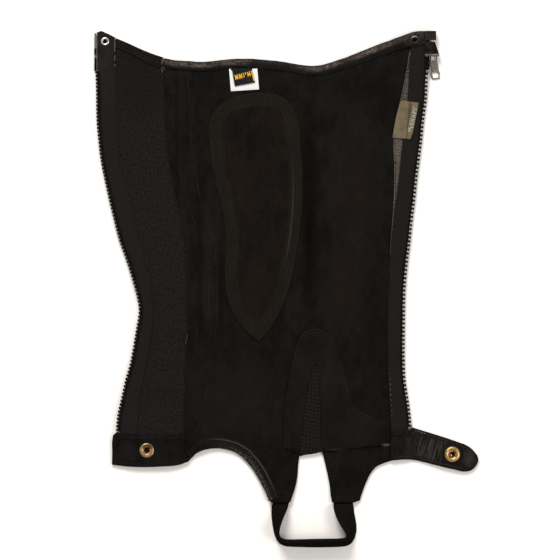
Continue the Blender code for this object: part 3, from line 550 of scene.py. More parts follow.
def relief_at(spot):
    """How far, in millimetres, the cloth is raised at a place by folds and waviness."""
    raised = WAVE_MIDDLE + LONG_WAVES * noise.noise(Vector((spot[0] / 26, spot[1] / 38, 3.1)))
    raised += SHORT_WAVES * noise.noise(Vector((spot[0] / 9, spot[1] / 13, 7.7)))
    for path, reach, height in FOLD_PATHS:
        xs = [point[0] for point in path]
        ys = [point[1] for point in path]
        if min(xs) - reach < spot[0] < max(xs) + reach and min(ys) - reach < spot[1] < max(ys) + reach:
            away = min(math.dist(spot, point) for point in curve_near(path, spot)) / reach
            if away < 1:
                uneven = 1 + 0.35 * noise.noise(Vector((spot[0] / 40, spot[1] / 40, height)))
                raised += height * uneven * (1 - away * away) ** 2
    return raised


def curve_near(path, spot):
    """The feet of a place on each straight stretch of a path."""
    feet = []
    for a, b in zip(path, path[1:]):
        dx, dy = b[0] - a[0], b[1] - a[1]
        t = min(1.0, max(0.0, ((spot[0] - a[0]) * dx + (spot[1] - a[1]) * dy) / (dx * dx + dy * dy)))
        feet.append((a[0] + dx * t, a[1] + dy * t))
    return feet


print("folds", len(FOLDS), "relief at the calf", round(relief_at((260, 200)), 2), "mm")

# %% [markdown]
# A cut sheet is made from the upper side of its solid. That skin is rounded with a subdivision
# surface, which softens the steps where it climbs over other layers, raised by the folds, and
# then given its thickness downwards and a small bevel at the cut edge.

# %% Laying a sheet
def keep_corners(piece, turn):
    """Creases the corners of a skin's outline, so that rounding leaves them sharp."""
    mesh = piece.data
    used = {}
    for face in mesh.polygons:
        for key in face.edge_keys:
            used[key] = used.get(key, 0) + 1
    beside_it = {}
    for (a, b), count in used.items():
        if count == 1:
            beside_it.setdefault(a, []).append(b)
            beside_it.setdefault(b, []).append(a)
    crease = mesh.attributes.new("crease_vert", "FLOAT", "POINT")
    for vertex, others in beside_it.items():
        here = mesh.vertices[vertex].co
        if len(others) == 2:
            into, out = here - mesh.vertices[others[0]].co, mesh.vertices[others[1]].co - here
            crease.data[vertex].value = 1.0 if math.degrees(into.angle(out, 0.0)) > turn else 0.0


def lay_sheet(name, node, thickness, rounding=2, edge=0.35, path=None, shape=None, corner=30):
    """Makes a sheet from a node: skin, rounding, folds, thickness and bevelled edge, in millimetres."""
    piece = welded_copy(node, name)
    edit_faces(piece, lambda face: face.normal.z < 0.5, ("delete", {"type": "FACE"}))
    keep_corners(piece, corner)
    apply(piece, "SUBSURF", levels=rounding, render_levels=rounding, boundary_smooth="ALL")
    for vertex in piece.data.vertices:
        spot = on_table(vertex.co)
        vertex.co.z += relief_at(spot) * MM
        if shape:
            vertex.co.z += shape(spot) * MM
    if path:
        follow(piece, path)
    flat_area = sum(face.area for face in piece.data.polygons)
    apply(piece, "SOLIDIFY", thickness=thickness * MM, offset=-1)
    bevel(piece, edge, 50)
    smooth_by(piece, 50)
    remember(piece)
    print(name, "is a sheet of", round(flat_area * 10000, 1), "cm2")
    return piece, flat_area


def dress(name, node, thickness, finish, slot, flat, rests_on, outside=None, **laying):
    piece, area = lay_sheet(name, node, thickness, **laying)
    hand_over(piece, finish, slot, node, outside=outside)


# %% [markdown]
# Suede is the split or flesh side of leather, raised to a nap. It is matt, a little brown where
# it is rubbed, and patchy where the nap lies another way. Some brown patches are also a painted
# highlight on its swells, and some dark ones are painted shade in its valley and beside its welt.
# Its specular is turned far down, because even a black this deep would go grey under a bright
# room, and a little sheen lights its fibres at a low angle.

# %% Suede
def repaint(finish, share, colour):
    """Lays a colour over a finish by a wire's share."""
    old = Wire(finish, finish.shader.inputs["Base Color"].links[0].from_socket)
    finish.feed("Base Color", finish.mix(share, old, colour))


def suede(name, dark, light, patches):
    """Napped leather between two tones, with wide patches of other colours on it."""
    finish = Finish(name, Roughness=0.95, Specular_IOR_Level=0.05, Sheen_Weight=0.05, Sheen_Roughness=0.4)
    brushed = finish.grain(8, 5.0, (1, 1.7, 1))
    clouds = finish.grain(34, 3.0)
    fibre = finish.grain(1.3, 4.0, (1, 1.4, 1))
    tone = (brushed * 0.38 + clouds * 0.27 + fibre * 0.35).contrast(4.2)
    finish.feed("Base Color", finish.mix(tone, dark, light))
    ragged = finish.grain(16, 3.0).contrast(2.0) * 0.5 + 0.6
    for centre, reach, tint, strength in patches:
        repaint(finish, finish.spot(centre, reach) * ragged * strength, tint)
    finish.relief(fibre * 0.7 + brushed * 0.3, 0.3)
    return finish


def stripe(value, middle, reach):
    """1 where a wire has the middle value, falling softly to 0 at the reach."""
    return (1 - ((value - middle) * (1 / reach)).size()).clipped() ** 0.7


# Brown where the suede is rubbed, and also a painted highlight where its swells face the light
BROWN_RUB_AND_HIGHLIGHT = seen(33, 26, 22)
DEEP_BLACK = seen(12, 11, 10)
# A paler grey for some patches of the suede
GREY_PATCH = seen(29, 28, 27)
# Each patch: its middle, its reach, its colour and how strong it is
PANEL_PATCHES = [
    ((356, 190), (36, 96), BROWN_RUB_AND_HIGHLIGHT, 0.55),
    ((344, 285), (34, 60), BROWN_RUB_AND_HIGHLIGHT, 0.55),
    # Painted shade along the valley down the shin
    ((309, 205), (12, 150), seen(7, 6, 5), 1.0),
    ((183, 250), (6, 110), BROWN_RUB_AND_HIGHLIGHT, 0.8),
    # The welt between the margin seams: a brown painted highlight on its crest, and painted shade either side
    ((209, 262), (6, 96), BROWN_RUB_AND_HIGHLIGHT, 0.8),
    ((199, 255), (4, 120), DEEP_BLACK, 0.8),
    ((221, 290), (4, 74), DEEP_BLACK, 0.8),
    ((176, 150), (4, 80), DEEP_BLACK, 0.6),
    ((372, 92), (34, 34), DEEP_BLACK, 0.55),
    ((376, 330), (22, 80), DEEP_BLACK, 0.5),
    ((208, 84), (22, 26), DEEP_BLACK, 0.5),
    ((238, 400), (60, 60), GREY_PATCH, 0.7),
    ((318, 385), (34, 62), GREY_PATCH, 0.7),
    ((328, 362), (4.5, 26), BROWN_RUB_AND_HIGHLIGHT, 0.9),
    ((276, 478), (24, 36), DEEP_BLACK, 0.45),
    ((352, 430), (36, 26), GREY_PATCH, 0.6),
    ((352, 478), (24, 30), DEEP_BLACK, 0.5),
    # Painted light over the shadow under the overlay's lower edge, and a painted highlight at its corner
    ((337, 449.4), (13, 1.5), seen(58, 55, 51), 0.8),
    ((386, 444.6), (6, 1.7), seen(128, 116, 118), 0.95),
]
INSERT_PATCHES = [((256, 300), (22, 46), BROWN_RUB_AND_HIGHLIGHT, 0.5)]
TAB_PATCHES = [((128, 448), (10, 18), seen(34, 31, 32), 0.5)]
panel_suede = suede("panel_suede", seen(13, 12, 11), seen(28, 26, 23), PANEL_PATCHES)
insert_suede = suede("insert_suede", seen(15, 12, 10), seen(30, 25, 21), INSERT_PATCHES)
tab_suede = suede("tab_suede", seen(14, 13, 12), seen(30, 28, 26), TAB_PATCHES)

# A lighter band runs round the insert between its edge and its inner seam, which is rubbed
BAND_WIDTH = 14.5
RUBBED_SEAM = 9.4
from_edge = insert_suede.along_seam()[1].size()
band = ((from_edge * (-1 / (BAND_WIDTH * MM)) + 1) * 5 + insert_suede.grain(2, 2.0) - 0.5).clipped()
band_tone = insert_suede.mix(insert_suede.grain(1.6, 4.0).contrast(3.0), seen(24, 21, 18), seen(40, 35, 30))
repaint(insert_suede, band * 0.6, band_tone)
rubbed_side = (insert_suede.spot((292, 225), (9, 70)) * 1.5).clipped()
repaint(insert_suede, stripe(from_edge, RUBBED_SEAM * MM, 1.0 * MM) * rubbed_side * 0.8, seen(62, 56, 51))
print("the panel's suede has", len(PANEL_PATCHES), "patches")

# %% [markdown]
# Grain leather, on the bindings, the facing, the strap and the whole outer side, has a smooth
# coat over small pebbles. It mirrors the soft panels, so its black shows as greys.

# %% Grain leather
def grain_leather(name, colour, roughness, pebble=1.1, crinkle=None, depth=0.12, coat=0.12):
    """Coated leather with pebbled grain, and crinkles along a seam where it has them."""
    finish = Finish(name, Specular_IOR_Level=0.3, Coat_Roughness=0.3)
    pebbles = finish.pebbles(pebble)
    fine = finish.grain(0.5, 2.0)
    height = pebbles * 0.6 + fine * 0.25
    if crinkle:
        uv = finish.along_seam()[0]
        lines = finish.grain(crinkle[0], 3.0, crinkle[1], uv)
        height = height + lines.contrast(2.2) * crinkle[2]
    worn = finish.grain(12, 3.0).contrast(2.4)
    darker = tuple(part * 0.6 for part in colour[:3]) + (1,)
    finish.feed("Base Color", finish.mix(worn, darker, colour))
    finish.feed("Roughness", finish.grain(6, 3.0).contrast(1.4) * 0.16 + (roughness - 0.08))
    finish.feed("Coat Weight", worn * coat)
    finish.relief(height, depth)
    return finish


outer_leather = grain_leather("outer_leather", seen(20, 18, 16), 0.5)
# Crinkles of each sewn leather: their size, their stretch across and along, and their strength
BINDING_CRINKLES = (4.0, (1.2, 0.8, 1), 1.0)
ARCH_CRINKLES = (2.4, (1.6, 0.8, 1), 1.2)
FACING_CRINKLES = (3.0, (4.0, 0.5, 1), 1.8)
STRAP_CRINKLES = (5.0, (1.6, 1.0, 1), 1.2)
binding_leather = grain_leather("binding_leather", seen(14, 12, 11), 0.45, 1.6, BINDING_CRINKLES, 0.4, 0.05)
arch_leather = grain_leather("arch_leather", seen(11, 10, 9), 0.45, 0.9, ARCH_CRINKLES, 0.4, 0.05)
# The facing's pale tone is partly its own colour and partly a painted sheen of its shiny grain
facing_leather = grain_leather("facing_leather", seen(86, 78, 72), 0.36, 1.2, FACING_CRINKLES, 0.5)
strap_leather = grain_leather("strap_leather", seen(12, 11, 10), 0.45, 1.6, STRAP_CRINKLES, 0.36, 0.03)
for finish, gloss in ((binding_leather, 0.08), (arch_leather, 0.07), (strap_leather, 0.08)):
    finish.shader.inputs["Specular IOR Level"].default_value = gloss

# The top binding is rubbed to a warm grey along the crown of its roll, more in some places, and
# the same pale band is a painted highlight where the roll faces the light
CROWN_RUBS_AND_HIGHLIGHTS = [((196, 62), (46, 16)), ((236, 60), (18, 12)), ((320, 65), (28, 14)), ((372, 49), (44, 24))]
across = binding_leather.along_seam()[1]
rubbed_and_lit = binding_leather.grain(7, 5.0, (2.0, 0.5, 1)).contrast(3.0) * 0.7 + 0.3
rubbed_and_lit = rubbed_and_lit * (binding_leather.grain(1.8, 4.0, (2.2, 1, 1)).contrast(5.0) * 0.8 + 0.25)
for centre, reach in CROWN_RUBS_AND_HIGHLIGHTS:
    worn = binding_leather.spot(centre, reach) * rubbed_and_lit * stripe(across, 3.8 * MM, 3.0 * MM)
    repaint(binding_leather, (worn * 1.5).clipped(), seen(104, 93, 86))
repaint(binding_leather, rubbed_and_lit * stripe(across, 3.6 * MM, 2.6 * MM) * 0.2, seen(66, 58, 53))
repaint(binding_leather, stripe(across, 0.3 * MM, 1.5 * MM) * 0.85, seen(8, 7, 7))
brown_end = binding_leather.spot((412, 37), (22, 12)) * binding_leather.grain(2.4, 4.0).contrast(3.0)
repaint(binding_leather, brown_end * 0.8, seen(68, 59, 54))

# The arch binding is dark, with painted highlights: a pale line along its sewn edge, and pale
# specks on its crinkles
across = arch_leather.along_seam()[1]
lit = arch_leather.spot((236, 462), (34, 36))
sewn_edge_highlight = stripe(across, -9.3 * MM, 0.85 * MM) * (arch_leather.spot((244, 462), (44, 56)) * 1.6).clipped()
repaint(arch_leather, sewn_edge_highlight * 0.85, seen(80, 78, 74))
crinkle_highlights = arch_leather.grain(1.3, 4.0).contrast(7.0, 0.54) * stripe(across, -2.2 * MM, 3.0 * MM)
repaint(arch_leather, crinkle_highlights * arch_leather.spot((252, 474), (52, 60)) * 0.9, seen(108, 103, 97))
middle_crinkle_highlights = arch_leather.grain(1.1, 4.0).contrast(8.0, 0.56) * stripe(across, -5.0 * MM, 5.5 * MM)
repaint(arch_leather, middle_crinkle_highlights * lit * 0.7, seen(72, 70, 66))

# The strap's root is its suede side, brown and dull. Its bends are rubbed pale, and that pale is
# also a painted highlight on its creases. Round its snap lies painted shade
uv, across, _ = strap_leather.along_seam()
root = strap_leather.spot((398, 448), (18, 30)) ** 0.5
bends = strap_leather.grain(3.4, 3.0, (7.0, 0.55, 1), uv).contrast(4.5, 0.54)
bent = strap_leather.spot((430, 449), (26, 20)) * bends
repaint(strap_leather, bent * 0.9, seen(70, 65, 60))
tip = strap_leather.spot((468, 458.5), (7, 12)) * (strap_leather.grain(1.5, 4.0).contrast(3.5) * 1.1 + 0.25)
repaint(strap_leather, (tip * 0.8).clipped(), seen(60, 53, 51))
mottled = strap_leather.grain(1.6, 4.0).contrast(4.0, 0.58) * 0.35
repaint(strap_leather, mottled, seen(48, 42, 38))
edges = ((across.size() - 9.4 * MM) * (1 / (1.6 * MM))).clipped() * (1 - root)
repaint(strap_leather, edges * 0.7, seen(12, 10, 9))
# Painted shade in a ring round the snap
painted_shade_round_snap = strap_leather.spot(RIGHT_SNAP, (13.5, 13.5))
repaint(strap_leather, (painted_shade_round_snap * 2.5).clipped() * 0.8, seen(9, 8, 8))
root_wear = strap_leather.grain(5, 3.0).contrast(3.0, 0.55)
root_tone = strap_leather.mix(root_wear, seen(8, 7, 6), seen(22, 15, 12))
repaint(strap_leather, root, root_tone)
leathers = (outer_leather, binding_leather, arch_leather, facing_leather, strap_leather)
print("leathers", [finish.material.name for finish in leathers])

# %% [markdown]
# The stretch panel is a knit of thick and thin loops, matt and slightly mottled, with a fine
# slanting rib. Zip tape is a flat twill whose ribs run with the zip. Webbing is ribbed along
# its length. All three follow the seam line that their piece was unwrapped along.

# %% Knit, tape and webbing
def woven(name, dark, light, rib, slant, mottle, depth):
    """Cloth with ribs along its seam line, a cross rib at a slant, and a mottle."""
    finish = Finish(name, Roughness=0.9, Specular_IOR_Level=0.08, Sheen_Weight=0.03)
    uv, across, along = finish.along_seam()
    turn = math.tau / (rib * MM)
    ribs = (across * turn + finish.grain(5, 2.0, source=uv) * 1.6).sine() * 0.5 + 0.5
    crossing = (across * (turn * slant[0]) + along * (turn * slant[1])).sine() * 0.5 + 0.5
    loops = finish.grain(mottle, 3.0, (1, 1.3, 1), uv).contrast(3.0)
    weave = (ribs * 0.2 + crossing * 0.3 + loops * 0.5).contrast(1.4)
    finish.feed("Base Color", finish.mix(weave, dark, light))
    finish.relief(ribs * 0.45 + crossing * 0.4 + loops * 0.3, depth)
    return finish


stretch_knit = woven("stretch_knit", seen(10, 10, 9), seen(37, 36, 34), 1.9, (0.8, 0.9), 2.0, 0.4)
hem_knit = woven("hem_knit", seen(8, 8, 7), seen(31, 29, 27), 1.5, (0.2, 1.4), 2.2, 0.3)
zip_twill = woven("zip_twill", seen(17, 17, 16), seen(36, 35, 33), 2.5, (1.1, 2.4), 0.9, 0.14)
gusset_knit = woven("gusset_knit", seen(7, 7, 6), seen(34, 33, 31), 3.4, (0.15, 0.9), 1.5, 0.5)
repaint(stretch_knit, stretch_knit.spot((140, 78), (36, 60)) * 0.45, seen(10, 10, 9))
film = zip_twill.spot((104, 60), (11, 46)) * zip_twill.grain(7, 3.0).contrast(2.0, 0.55)
repaint(zip_twill, film * 0.6, seen(47, 39, 41))
strap_webbing = woven("strap_webbing", seen(13, 12, 11), seen(32, 31, 29), 1.6, (0.1, 1.9), 1.3, 0.22)
strap_webbing.shader.inputs["Specular IOR Level"].default_value = 0.0
strap_webbing.shader.inputs["Sheen Weight"].default_value = 0.0
print("cloth finishes", len(bpy.data.materials))

# %% [markdown]
# The sheets go down in the order that they are sewn. Where the left tape's head and the stretch
# panel meet edge to edge, a short ribbon backs the seam.

# %% Stretch panel and its hem
def backing_cloth(name, spot, level, sizes, turn, edge, path):
    """A small piece of cloth behind a seam, turned by this many degrees on the table."""
    bpy.ops.mesh.primitive_cube_add(size=1, location=world(spot, level * MM),
                                    rotation=(0, 0, -math.radians(turn)))
    piece = settle(name, [size * MM for size in sizes])
    edit(piece, ("subdivide", {"number_cuts": 3}))
    bevel(piece, edge, 50)
    follow(piece, path)
    return piece


KNIT_LINE = [(139, 30), (140, 110), (144, 180), (156, 245), (163, 300), (164, 335), (159, 385), (156, 440)]
dress("stretch_panel", "elastic_panel", 1.6, stretch_knit, "elastic_knit", (117, 399), ["floor"],
      path=curve_through(KNIT_LINE, 8))

RIBBON = (10.4, 12.6)
ribbon = backing_cloth("seam_ribbon", (115.6, 46.6), 0.7, (*RIBBON, 0.5), 25, 0.15,
                       [(115.8, 30), (115.8, 60)])
hand_over(ribbon, hem_knit, "elastic_knit")

dress("stretch_hem", "elastic_hem", 1.0, hem_knit, "elastic_knit", (11.1, 53.8), ["stretch_panel"],
      path=[(116, 44), (162, 64)])

# %% [markdown]
# The leg panel is the big one. Its left margin lies on the stretch panel, so its cut edge shows
# there as a step. Its underside is the smooth outer side of the leather, which gets its own
# finish as the second material.

# %% Leg panel, calf insert and instep
dress("panel", "leg_panel", 1.8, panel_suede, "black_suede", (258.5, 469.2), ["floor", "stretch_panel"],
      outside=outer_leather)

CALF_PATH = curve_through(CALF_OUTLINE, 4)


def pressed(spot):
    """The insert's edge is sewn down, so it thins towards the panel."""
    return -0.75 * max(0.0, 1 - abs(nearest_on(CALF_PATH, spot)[0]) / 4.5) ** 1.3


dress("insert", "calf_insert", 1.7, insert_suede, "black_suede", (94.2, 249.2), ["panel"],
      outside=outer_leather, rounding=3, edge=0.6, path=CALF_PATH, shape=pressed)
dress("overlay", "instep_overlay", 1.5, panel_suede, "black_suede", (106.3, 125.2), ["panel"],
      outside=outer_leather, edge=0.3)
dress("gusset", "instep_gusset", 1.0, gusset_knit, "elastic_knit", (21.9, 91.6), ["panel"],
      rounding=3, path=[(314, 362), (311, 454)])

# %% [markdown]
# The facing is a thin strip of shiny leather that crinkles across its length where the zip tape
# pulls it. The crinkles are real relief here, uneven and a few tenths of a millimetre high.

# %% Facing
def crinkled(spot):
    """Crinkles across the facing, in millimetres."""
    wave = noise.noise(Vector((spot[0] / 14, spot[1] / 2.1, 0.4)))
    return 0.34 * wave + 0.12 * noise.noise(Vector((spot[0] / 3, spot[1] / 1.3, 5.0)))


dress("facing", "zip_facing", 0.9, facing_leather, "grain_leather", (15.6, 211), ["panel"],
      outside=outer_leather, rounding=3, edge=0.2, path=curve_through(FACING_EDGE, 5), shape=crinkled)

# %% [markdown]
# The tapes lie over the stretch panel and the facing. Each is unwrapped along its own row of
# teeth, so that its twill turns with the zip.

# %% Zip tapes
TAPE_THICKNESS = 0.9
left_path = curve_through([(95.4, 26), (95.3, 50), *LEFT_TEETH, (114.5, 450)], 6)
right_path = curve_through([(428.4, 20), (428.4, 40), *RIGHT_TEETH, (412.4, 440)], 6)
dress("tape_left", "zip_tape_left", TAPE_THICKNESS, zip_twill, "zip_cloth", (18, 409), ["stretch_panel"],
      edge=0.2, path=left_path)
dress("tape_right", "zip_tape_right", TAPE_THICKNESS, zip_twill, "zip_cloth", (18, 402), ["panel", "facing"],
      edge=0.2, path=right_path)

# %% [markdown]
# The tab is suede, and the strap is grain leather that has been bent round the ankle many times,
# so it keeps upright creases beside its snap.

# %% Snap tab and snap strap
# Creases across the strap: where each runs, its reach and its height
STRAP_CREASES = [
    ([(418, 436), (417, 450), (419, 459)], 1.7, 0.5), ([(423, 434), (424, 448), (422, 460)], 2.0, -0.35),
    ([(428, 436), (427, 450), (429, 462)], 1.8, 0.55), ([(433, 438), (434, 452), (432, 462)], 2.2, -0.4),
    ([(438, 439), (437, 451), (439, 465)], 1.9, 0.5), ([(442.5, 441), (441, 455)], 1.5, -0.3),
    ([(463, 446), (465, 455), (462, 466)], 1.8, -0.4), ([(469, 449), (470.5, 457), (468, 467)], 1.9, 0.4),
]
CREASE_PATHS = [(curve_through(points, 4), reach, height) for points, reach, height in STRAP_CREASES]


def creased(spot):
    """The strap's own creases, in millimetres."""
    raised = 0.0
    for path, reach, height in CREASE_PATHS:
        away = min(math.dist(spot, foot) for foot in curve_near(path, spot)) / reach
        raised += height * (1 - away * away) ** 2 if away < 1 else 0.0
    from_snap = math.dist(spot, RIGHT_SNAP)
    groove = -0.7 * max(0.0, 1 - abs(from_snap - 9.2) / 2.2) ** 1.5
    return raised + groove + 0.16 * noise.noise(Vector((spot[0] / 3.0, spot[1] / 5.0, 1.0)))


def dented(spot):
    """Shallow dents in the tab."""
    return 0.25 * noise.noise(Vector((spot[0] / 9, spot[1] / 12, 4.0)))


dress("tab", "snap_tab", 1.7, tab_suede, "black_suede", (78.2, 34.2), ["stretch_panel", "tape_left"],
      outside=outer_leather, shape=dented, corner=20)

STRAP_LINE = [(390, 445), (412, 444), (440, 451), (478, 459)]
dress("strap", "snap_strap", 1.7, strap_leather, "grain_leather", (36.1, 90.9), ["panel", "tape_right"],
      outside=outer_leather, rounding=3, path=curve_through(STRAP_LINE, 5), shape=creased, corner=60)

# %% [markdown]
# The bindings are leather strips rolled round an edge. The solid has that roll already, so its
# welded copy is turned to quads, its sharp edges are creased, and a subdivision surface rounds
# the rest. Small uneven swells along the roll stand for the leather's gathers.

# %% Bindings
def rounded_copy(name, node, sharp, hold):
    """A welded copy in quads, rounded, with the edges that turn by more than an angle held back."""
    piece = welded_copy(node, name)
    quads = {"face_threshold": math.radians(40), "shape_threshold": math.radians(75)}
    edit(piece, ("tris_convert_to_quads", quads))
    only(piece)
    bpy.ops.object.mode_set(mode="EDIT")
    bpy.ops.mesh.select_mode(type="EDGE")
    bpy.ops.mesh.select_all(action="DESELECT")
    bpy.ops.mesh.edges_select_sharp(sharpness=math.radians(sharp))
    bpy.ops.transform.edge_crease(value=hold)
    bpy.ops.mesh.select_mode(type="VERT")
    bpy.ops.object.mode_set(mode="OBJECT")
    apply(piece, "SUBSURF", levels=2, render_levels=2)
    return piece


def swell(piece, amount, size):
    """Moves each point along its normal by slow noise, to a few tenths of a millimetre."""
    normals = [vertex.normal.copy() for vertex in piece.data.vertices]
    for vertex, normal in zip(piece.data.vertices, normals):
        spot = on_table(vertex.co)
        lumps = noise.noise(Vector((spot[0] / size, spot[1] / size, vertex.co.z / MM / size)))
        vertex.co += normal * (amount * lumps * MM)


def bind(name, node, path, finish, amount):
    piece = rounded_copy(name, node, sharp=45, hold=1.0)
    swell(piece, amount, 7.0)
    follow(piece, curve_through(path, 5))
    for vertex in piece.data.vertices:
        vertex.co.z += relief_at(on_table(vertex.co)) * MM
    smooth_by(piece, 60)
    remember(piece)
    hand_over(piece, finish, "grain_leather", node)


bind("binding_top", "top_binding", TOP_EDGE, binding_leather, 0.28)
bind("binding_arch", "arch_binding", ARCH_EDGE, arch_leather, 0.34)

# A square of leather is tucked under the place where the tab meets the arch's binding
TUCK = (10.2, 10.2)
tuck = backing_cloth("arch_tuck", (187.3, 454.9), 0.9, (*TUCK, 0.8), 45, 0.2, curve_through(ARCH_EDGE, 5))
smooth_by(tuck, 50)
hand_over(tuck, arch_leather, "grain_leather")

# %% [markdown]
# The strap under the shoe is elastic webbing. It leaves the wings flat and stands on its edge, so
# its solid is a long twisted ribbon. It is unwrapped along its own middle line.

# %% Foot strap
FOOT_LINE = [
    (281, 494.6), (280, 503), (278.8, 511), (277.6, 517), (276.8, 523), (276.3, 529), (276.6, 534),
    (278.4, 538), (281.6, 541), (286, 542.4), (293, 542.8), (310, 542.7), (327, 542.5), (339, 542.1),
    (345.2, 541.4), (348.4, 539.4), (350, 535.4), (349.6, 530), (347.8, 524), (345.7, 518), (343.9, 511.5),
    (343, 503), (343, 494.6),
]
foot_strap = welded_copy("foot_strap", "strap_under_shoe")
bevel(foot_strap, 0.4, 50)
apply(foot_strap, "SUBSURF", levels=2, render_levels=2, subdivision_type="SIMPLE")
apply(foot_strap, "SMOOTH", iterations=2, factor=0.5)
swell(foot_strap, 0.2, 14)
# Smoothing thins the webbing, so it is grown back, and more along the bar under the shoe
BAR_FROM = 536
outward = [vertex.normal.copy() for vertex in foot_strap.data.vertices]
for vertex, normal in zip(foot_strap.data.vertices, outward):
    on_bar = min(1.0, max(0.0, (on_table(vertex.co)[1] - BAR_FROM) / 3))
    vertex.co.y += normal.y * (0.25 + (0.8 if normal.y > 0 else 0.1) * on_bar) * MM
follow(foot_strap, curve_through(FOOT_LINE, 4))
smooth_by(foot_strap, 60)
hand_over(foot_strap, strap_webbing, "webbing", "foot_strap")

# %% [markdown]
# The zip's teeth are moulded one by one on the tape's corded edge. A tooth has a wide head, a
# narrow neck that its neighbour's head fits into, and two lips that clamp the tape. One tooth is
# shaped here and copied along each row.

# %% Copies of one shape
def place_copies(name, pattern, frames):
    """Joins copies of a pattern, one at each frame, each with its own mesh."""
    copies = []
    for matrix in frames:
        copy = bpy.data.objects.new(name, pattern.data.copy())
        bpy.context.collection.objects.link(copy)
        copy.data.transform(matrix)
        copies.append(copy)
    bpy.ops.object.select_all(action="DESELECT")
    for copy in copies:
        copy.select_set(True)
    bpy.context.view_layer.objects.active = copies[0]
    bpy.ops.object.join()
    return bpy.context.object


def turned_frame(point, direction, slope=0.0, lean=0.0, sizes=(1, 1, 1)):
    """A frame whose X follows a direction on the table, tipped along it and rolled about it."""
    heading = math.atan2(-direction[1], direction[0])
    turn = Matrix.Rotation(heading, 4, "Z") @ Matrix.Rotation(-slope, 4, "Y") @ Matrix.Rotation(lean, 4, "X")
    return Matrix.Translation(point) @ turn @ Matrix.Diagonal((*sizes, 1))


# A tooth's X runs along the row and its Y points out to the tip, all in millimetres
TOOTH_WIDTH = 2.2
TOOTH_HEIGHT = 3.9
TOOTH_BODY = 1.7
TOOTH_ROOT = 3.3
HALF_SLOT = 0.62

bpy.ops.mesh.primitive_cube_add(size=1, location=(0, (TOOTH_BODY / 2 - TOOTH_ROOT) * MM, 0))
tooth = settle("tooth_pattern", (TOOTH_WIDTH * MM, TOOTH_BODY * MM, TOOTH_HEIGHT * MM))
only(tooth)
bpy.ops.object.mode_set(mode="EDIT")
for lip in (-HALF_SLOT, HALF_SLOT):
    bpy.ops.mesh.select_all(action="SELECT")
    bpy.ops.mesh.bisect(plane_co=(0, 0, lip * MM), plane_no=(0, 0, 1))
bpy.ops.object.mode_set(mode="OBJECT")
edit_faces(tooth, lambda face: face.normal.y < -0.9 and abs(face.center.z) > 0.7 * MM,
           ("extrude_region_move", {"TRANSFORM_OT_translate": {"value": (0, -1.3 * MM, 0)}}))
centre = (0, 0, 0)
edit_faces(tooth, lambda face: face.normal.y > 0.9,
           ("transform.resize", {"value": (0.8, 1, 0.8), "center_override": centre}),
           ("extrude_region_move", {"TRANSFORM_OT_translate": {"value": (0, 0.5 * MM, 0)}}),
           ("transform.resize", {"value": (1.45, 1, 1.05), "center_override": centre}),
           ("extrude_region_move", {"TRANSFORM_OT_translate": {"value": (0, 0.8 * MM, 0)}}),
           ("transform.resize", {"value": (0.8, 1, 0.85), "center_override": centre}))
bevel(tooth, 0.18, 40, segments=1)
print("one tooth has", len(tooth.data.polygons), "faces")

# %% [markdown]
# Each row of teeth keeps to the level of its tape, which rises where the cloth bulges. A thin
# cord runs through the roots.

# %% Tooth rows
plastic = Finish("moulded_black", Specular_IOR_Level=0.05)
plastic_wear = plastic.grain(1.8, 3.0).contrast(2.5)
plastic.feed("Base Color", plastic.mix(plastic_wear, seen(3, 3, 3), seen(20, 18, 16)))
plastic.feed("Roughness", plastic_wear * 0.2 + 0.42)
plastic.relief(plastic.grain(0.6, 2.0), 0.05)
scuffed_plastic = Finish("scuffed_plastic", Specular_IOR_Level=0.08)
scuffs = scuffed_plastic.grain(1.1, 4.0, (5.0, 1, 1)).contrast(3.0, 0.45)
scuffed_plastic.feed("Base Color", scuffed_plastic.mix(scuffs, seen(16, 15, 14), seen(50, 45, 42)))
scuffed_plastic.feed("Roughness", scuffs * 0.2 + 0.42)
scuffed_plastic.relief(scuffs, 0.08)


# How far the tape is measured inward from the row, and the half of its thickness
TO_TAPE = 5.5
HALF_TAPE = TAPE_THICKNESS / 2 * MM


def tooth_row(name, node, path, side, tape, pitch, start):
    """Copies the tooth along a row. The side is 1 where the tips point right of the path."""
    line = curve_through(path, 1.0)
    on_tape = [spot for spot, _ in steps_along(beside(line, -side * TO_TAPE), 1.0)]
    frames = []
    for spot, direction in steps_along(line, pitch, start):
        level = height_on(min(on_tape, key=lambda place: math.dist(place, spot)), [tape])
        if level is None:
            continue
        lean = math.radians(chance.uniform(-2, 2))
        frames.append(turned_frame(world(spot, level - HALF_TAPE), direction, 0.0, lean, (1, -side, 1)))
    row = place_copies(name, tooth, frames)
    edit(row, ("normals_make_consistent", {"inside": False}))
    smooth_by(row, 40)
    hand_over(row, plastic, "black_plastic", node)
    return frames


left_frames = tooth_row("teeth_left", "zip_teeth_left", LEFT_TEETH, 1, "tape_left", 3.72, 0.6)
right_frames = tooth_row("teeth_right", "zip_teeth_right", RIGHT_TEETH, -1, "tape_right", 4.1, 0.4)


def tube(name, points, radius):
    """A round cord with eight sides through points in the frame."""
    line = bpy.data.curves.new(name, "CURVE")
    line.dimensions = "3D"
    line.bevel_depth = radius * MM
    line.bevel_resolution = 1
    line.use_fill_caps = True
    run = line.splines.new("POLY")
    run.points.add(len(points) - 1)
    for spot, point in zip(run.points, points):
        spot.co = (*point, 1)
    cord = bpy.data.objects.new(name, line)
    bpy.context.collection.objects.link(cord)
    only(cord)
    bpy.ops.object.convert(target="MESH")
    cord = bpy.context.object
    cord.name = name
    edit(cord, ("remove_doubles", {"threshold": WELD}), ("normals_make_consistent", {"inside": False}))
    smooth_by(cord, 60)
    return cord


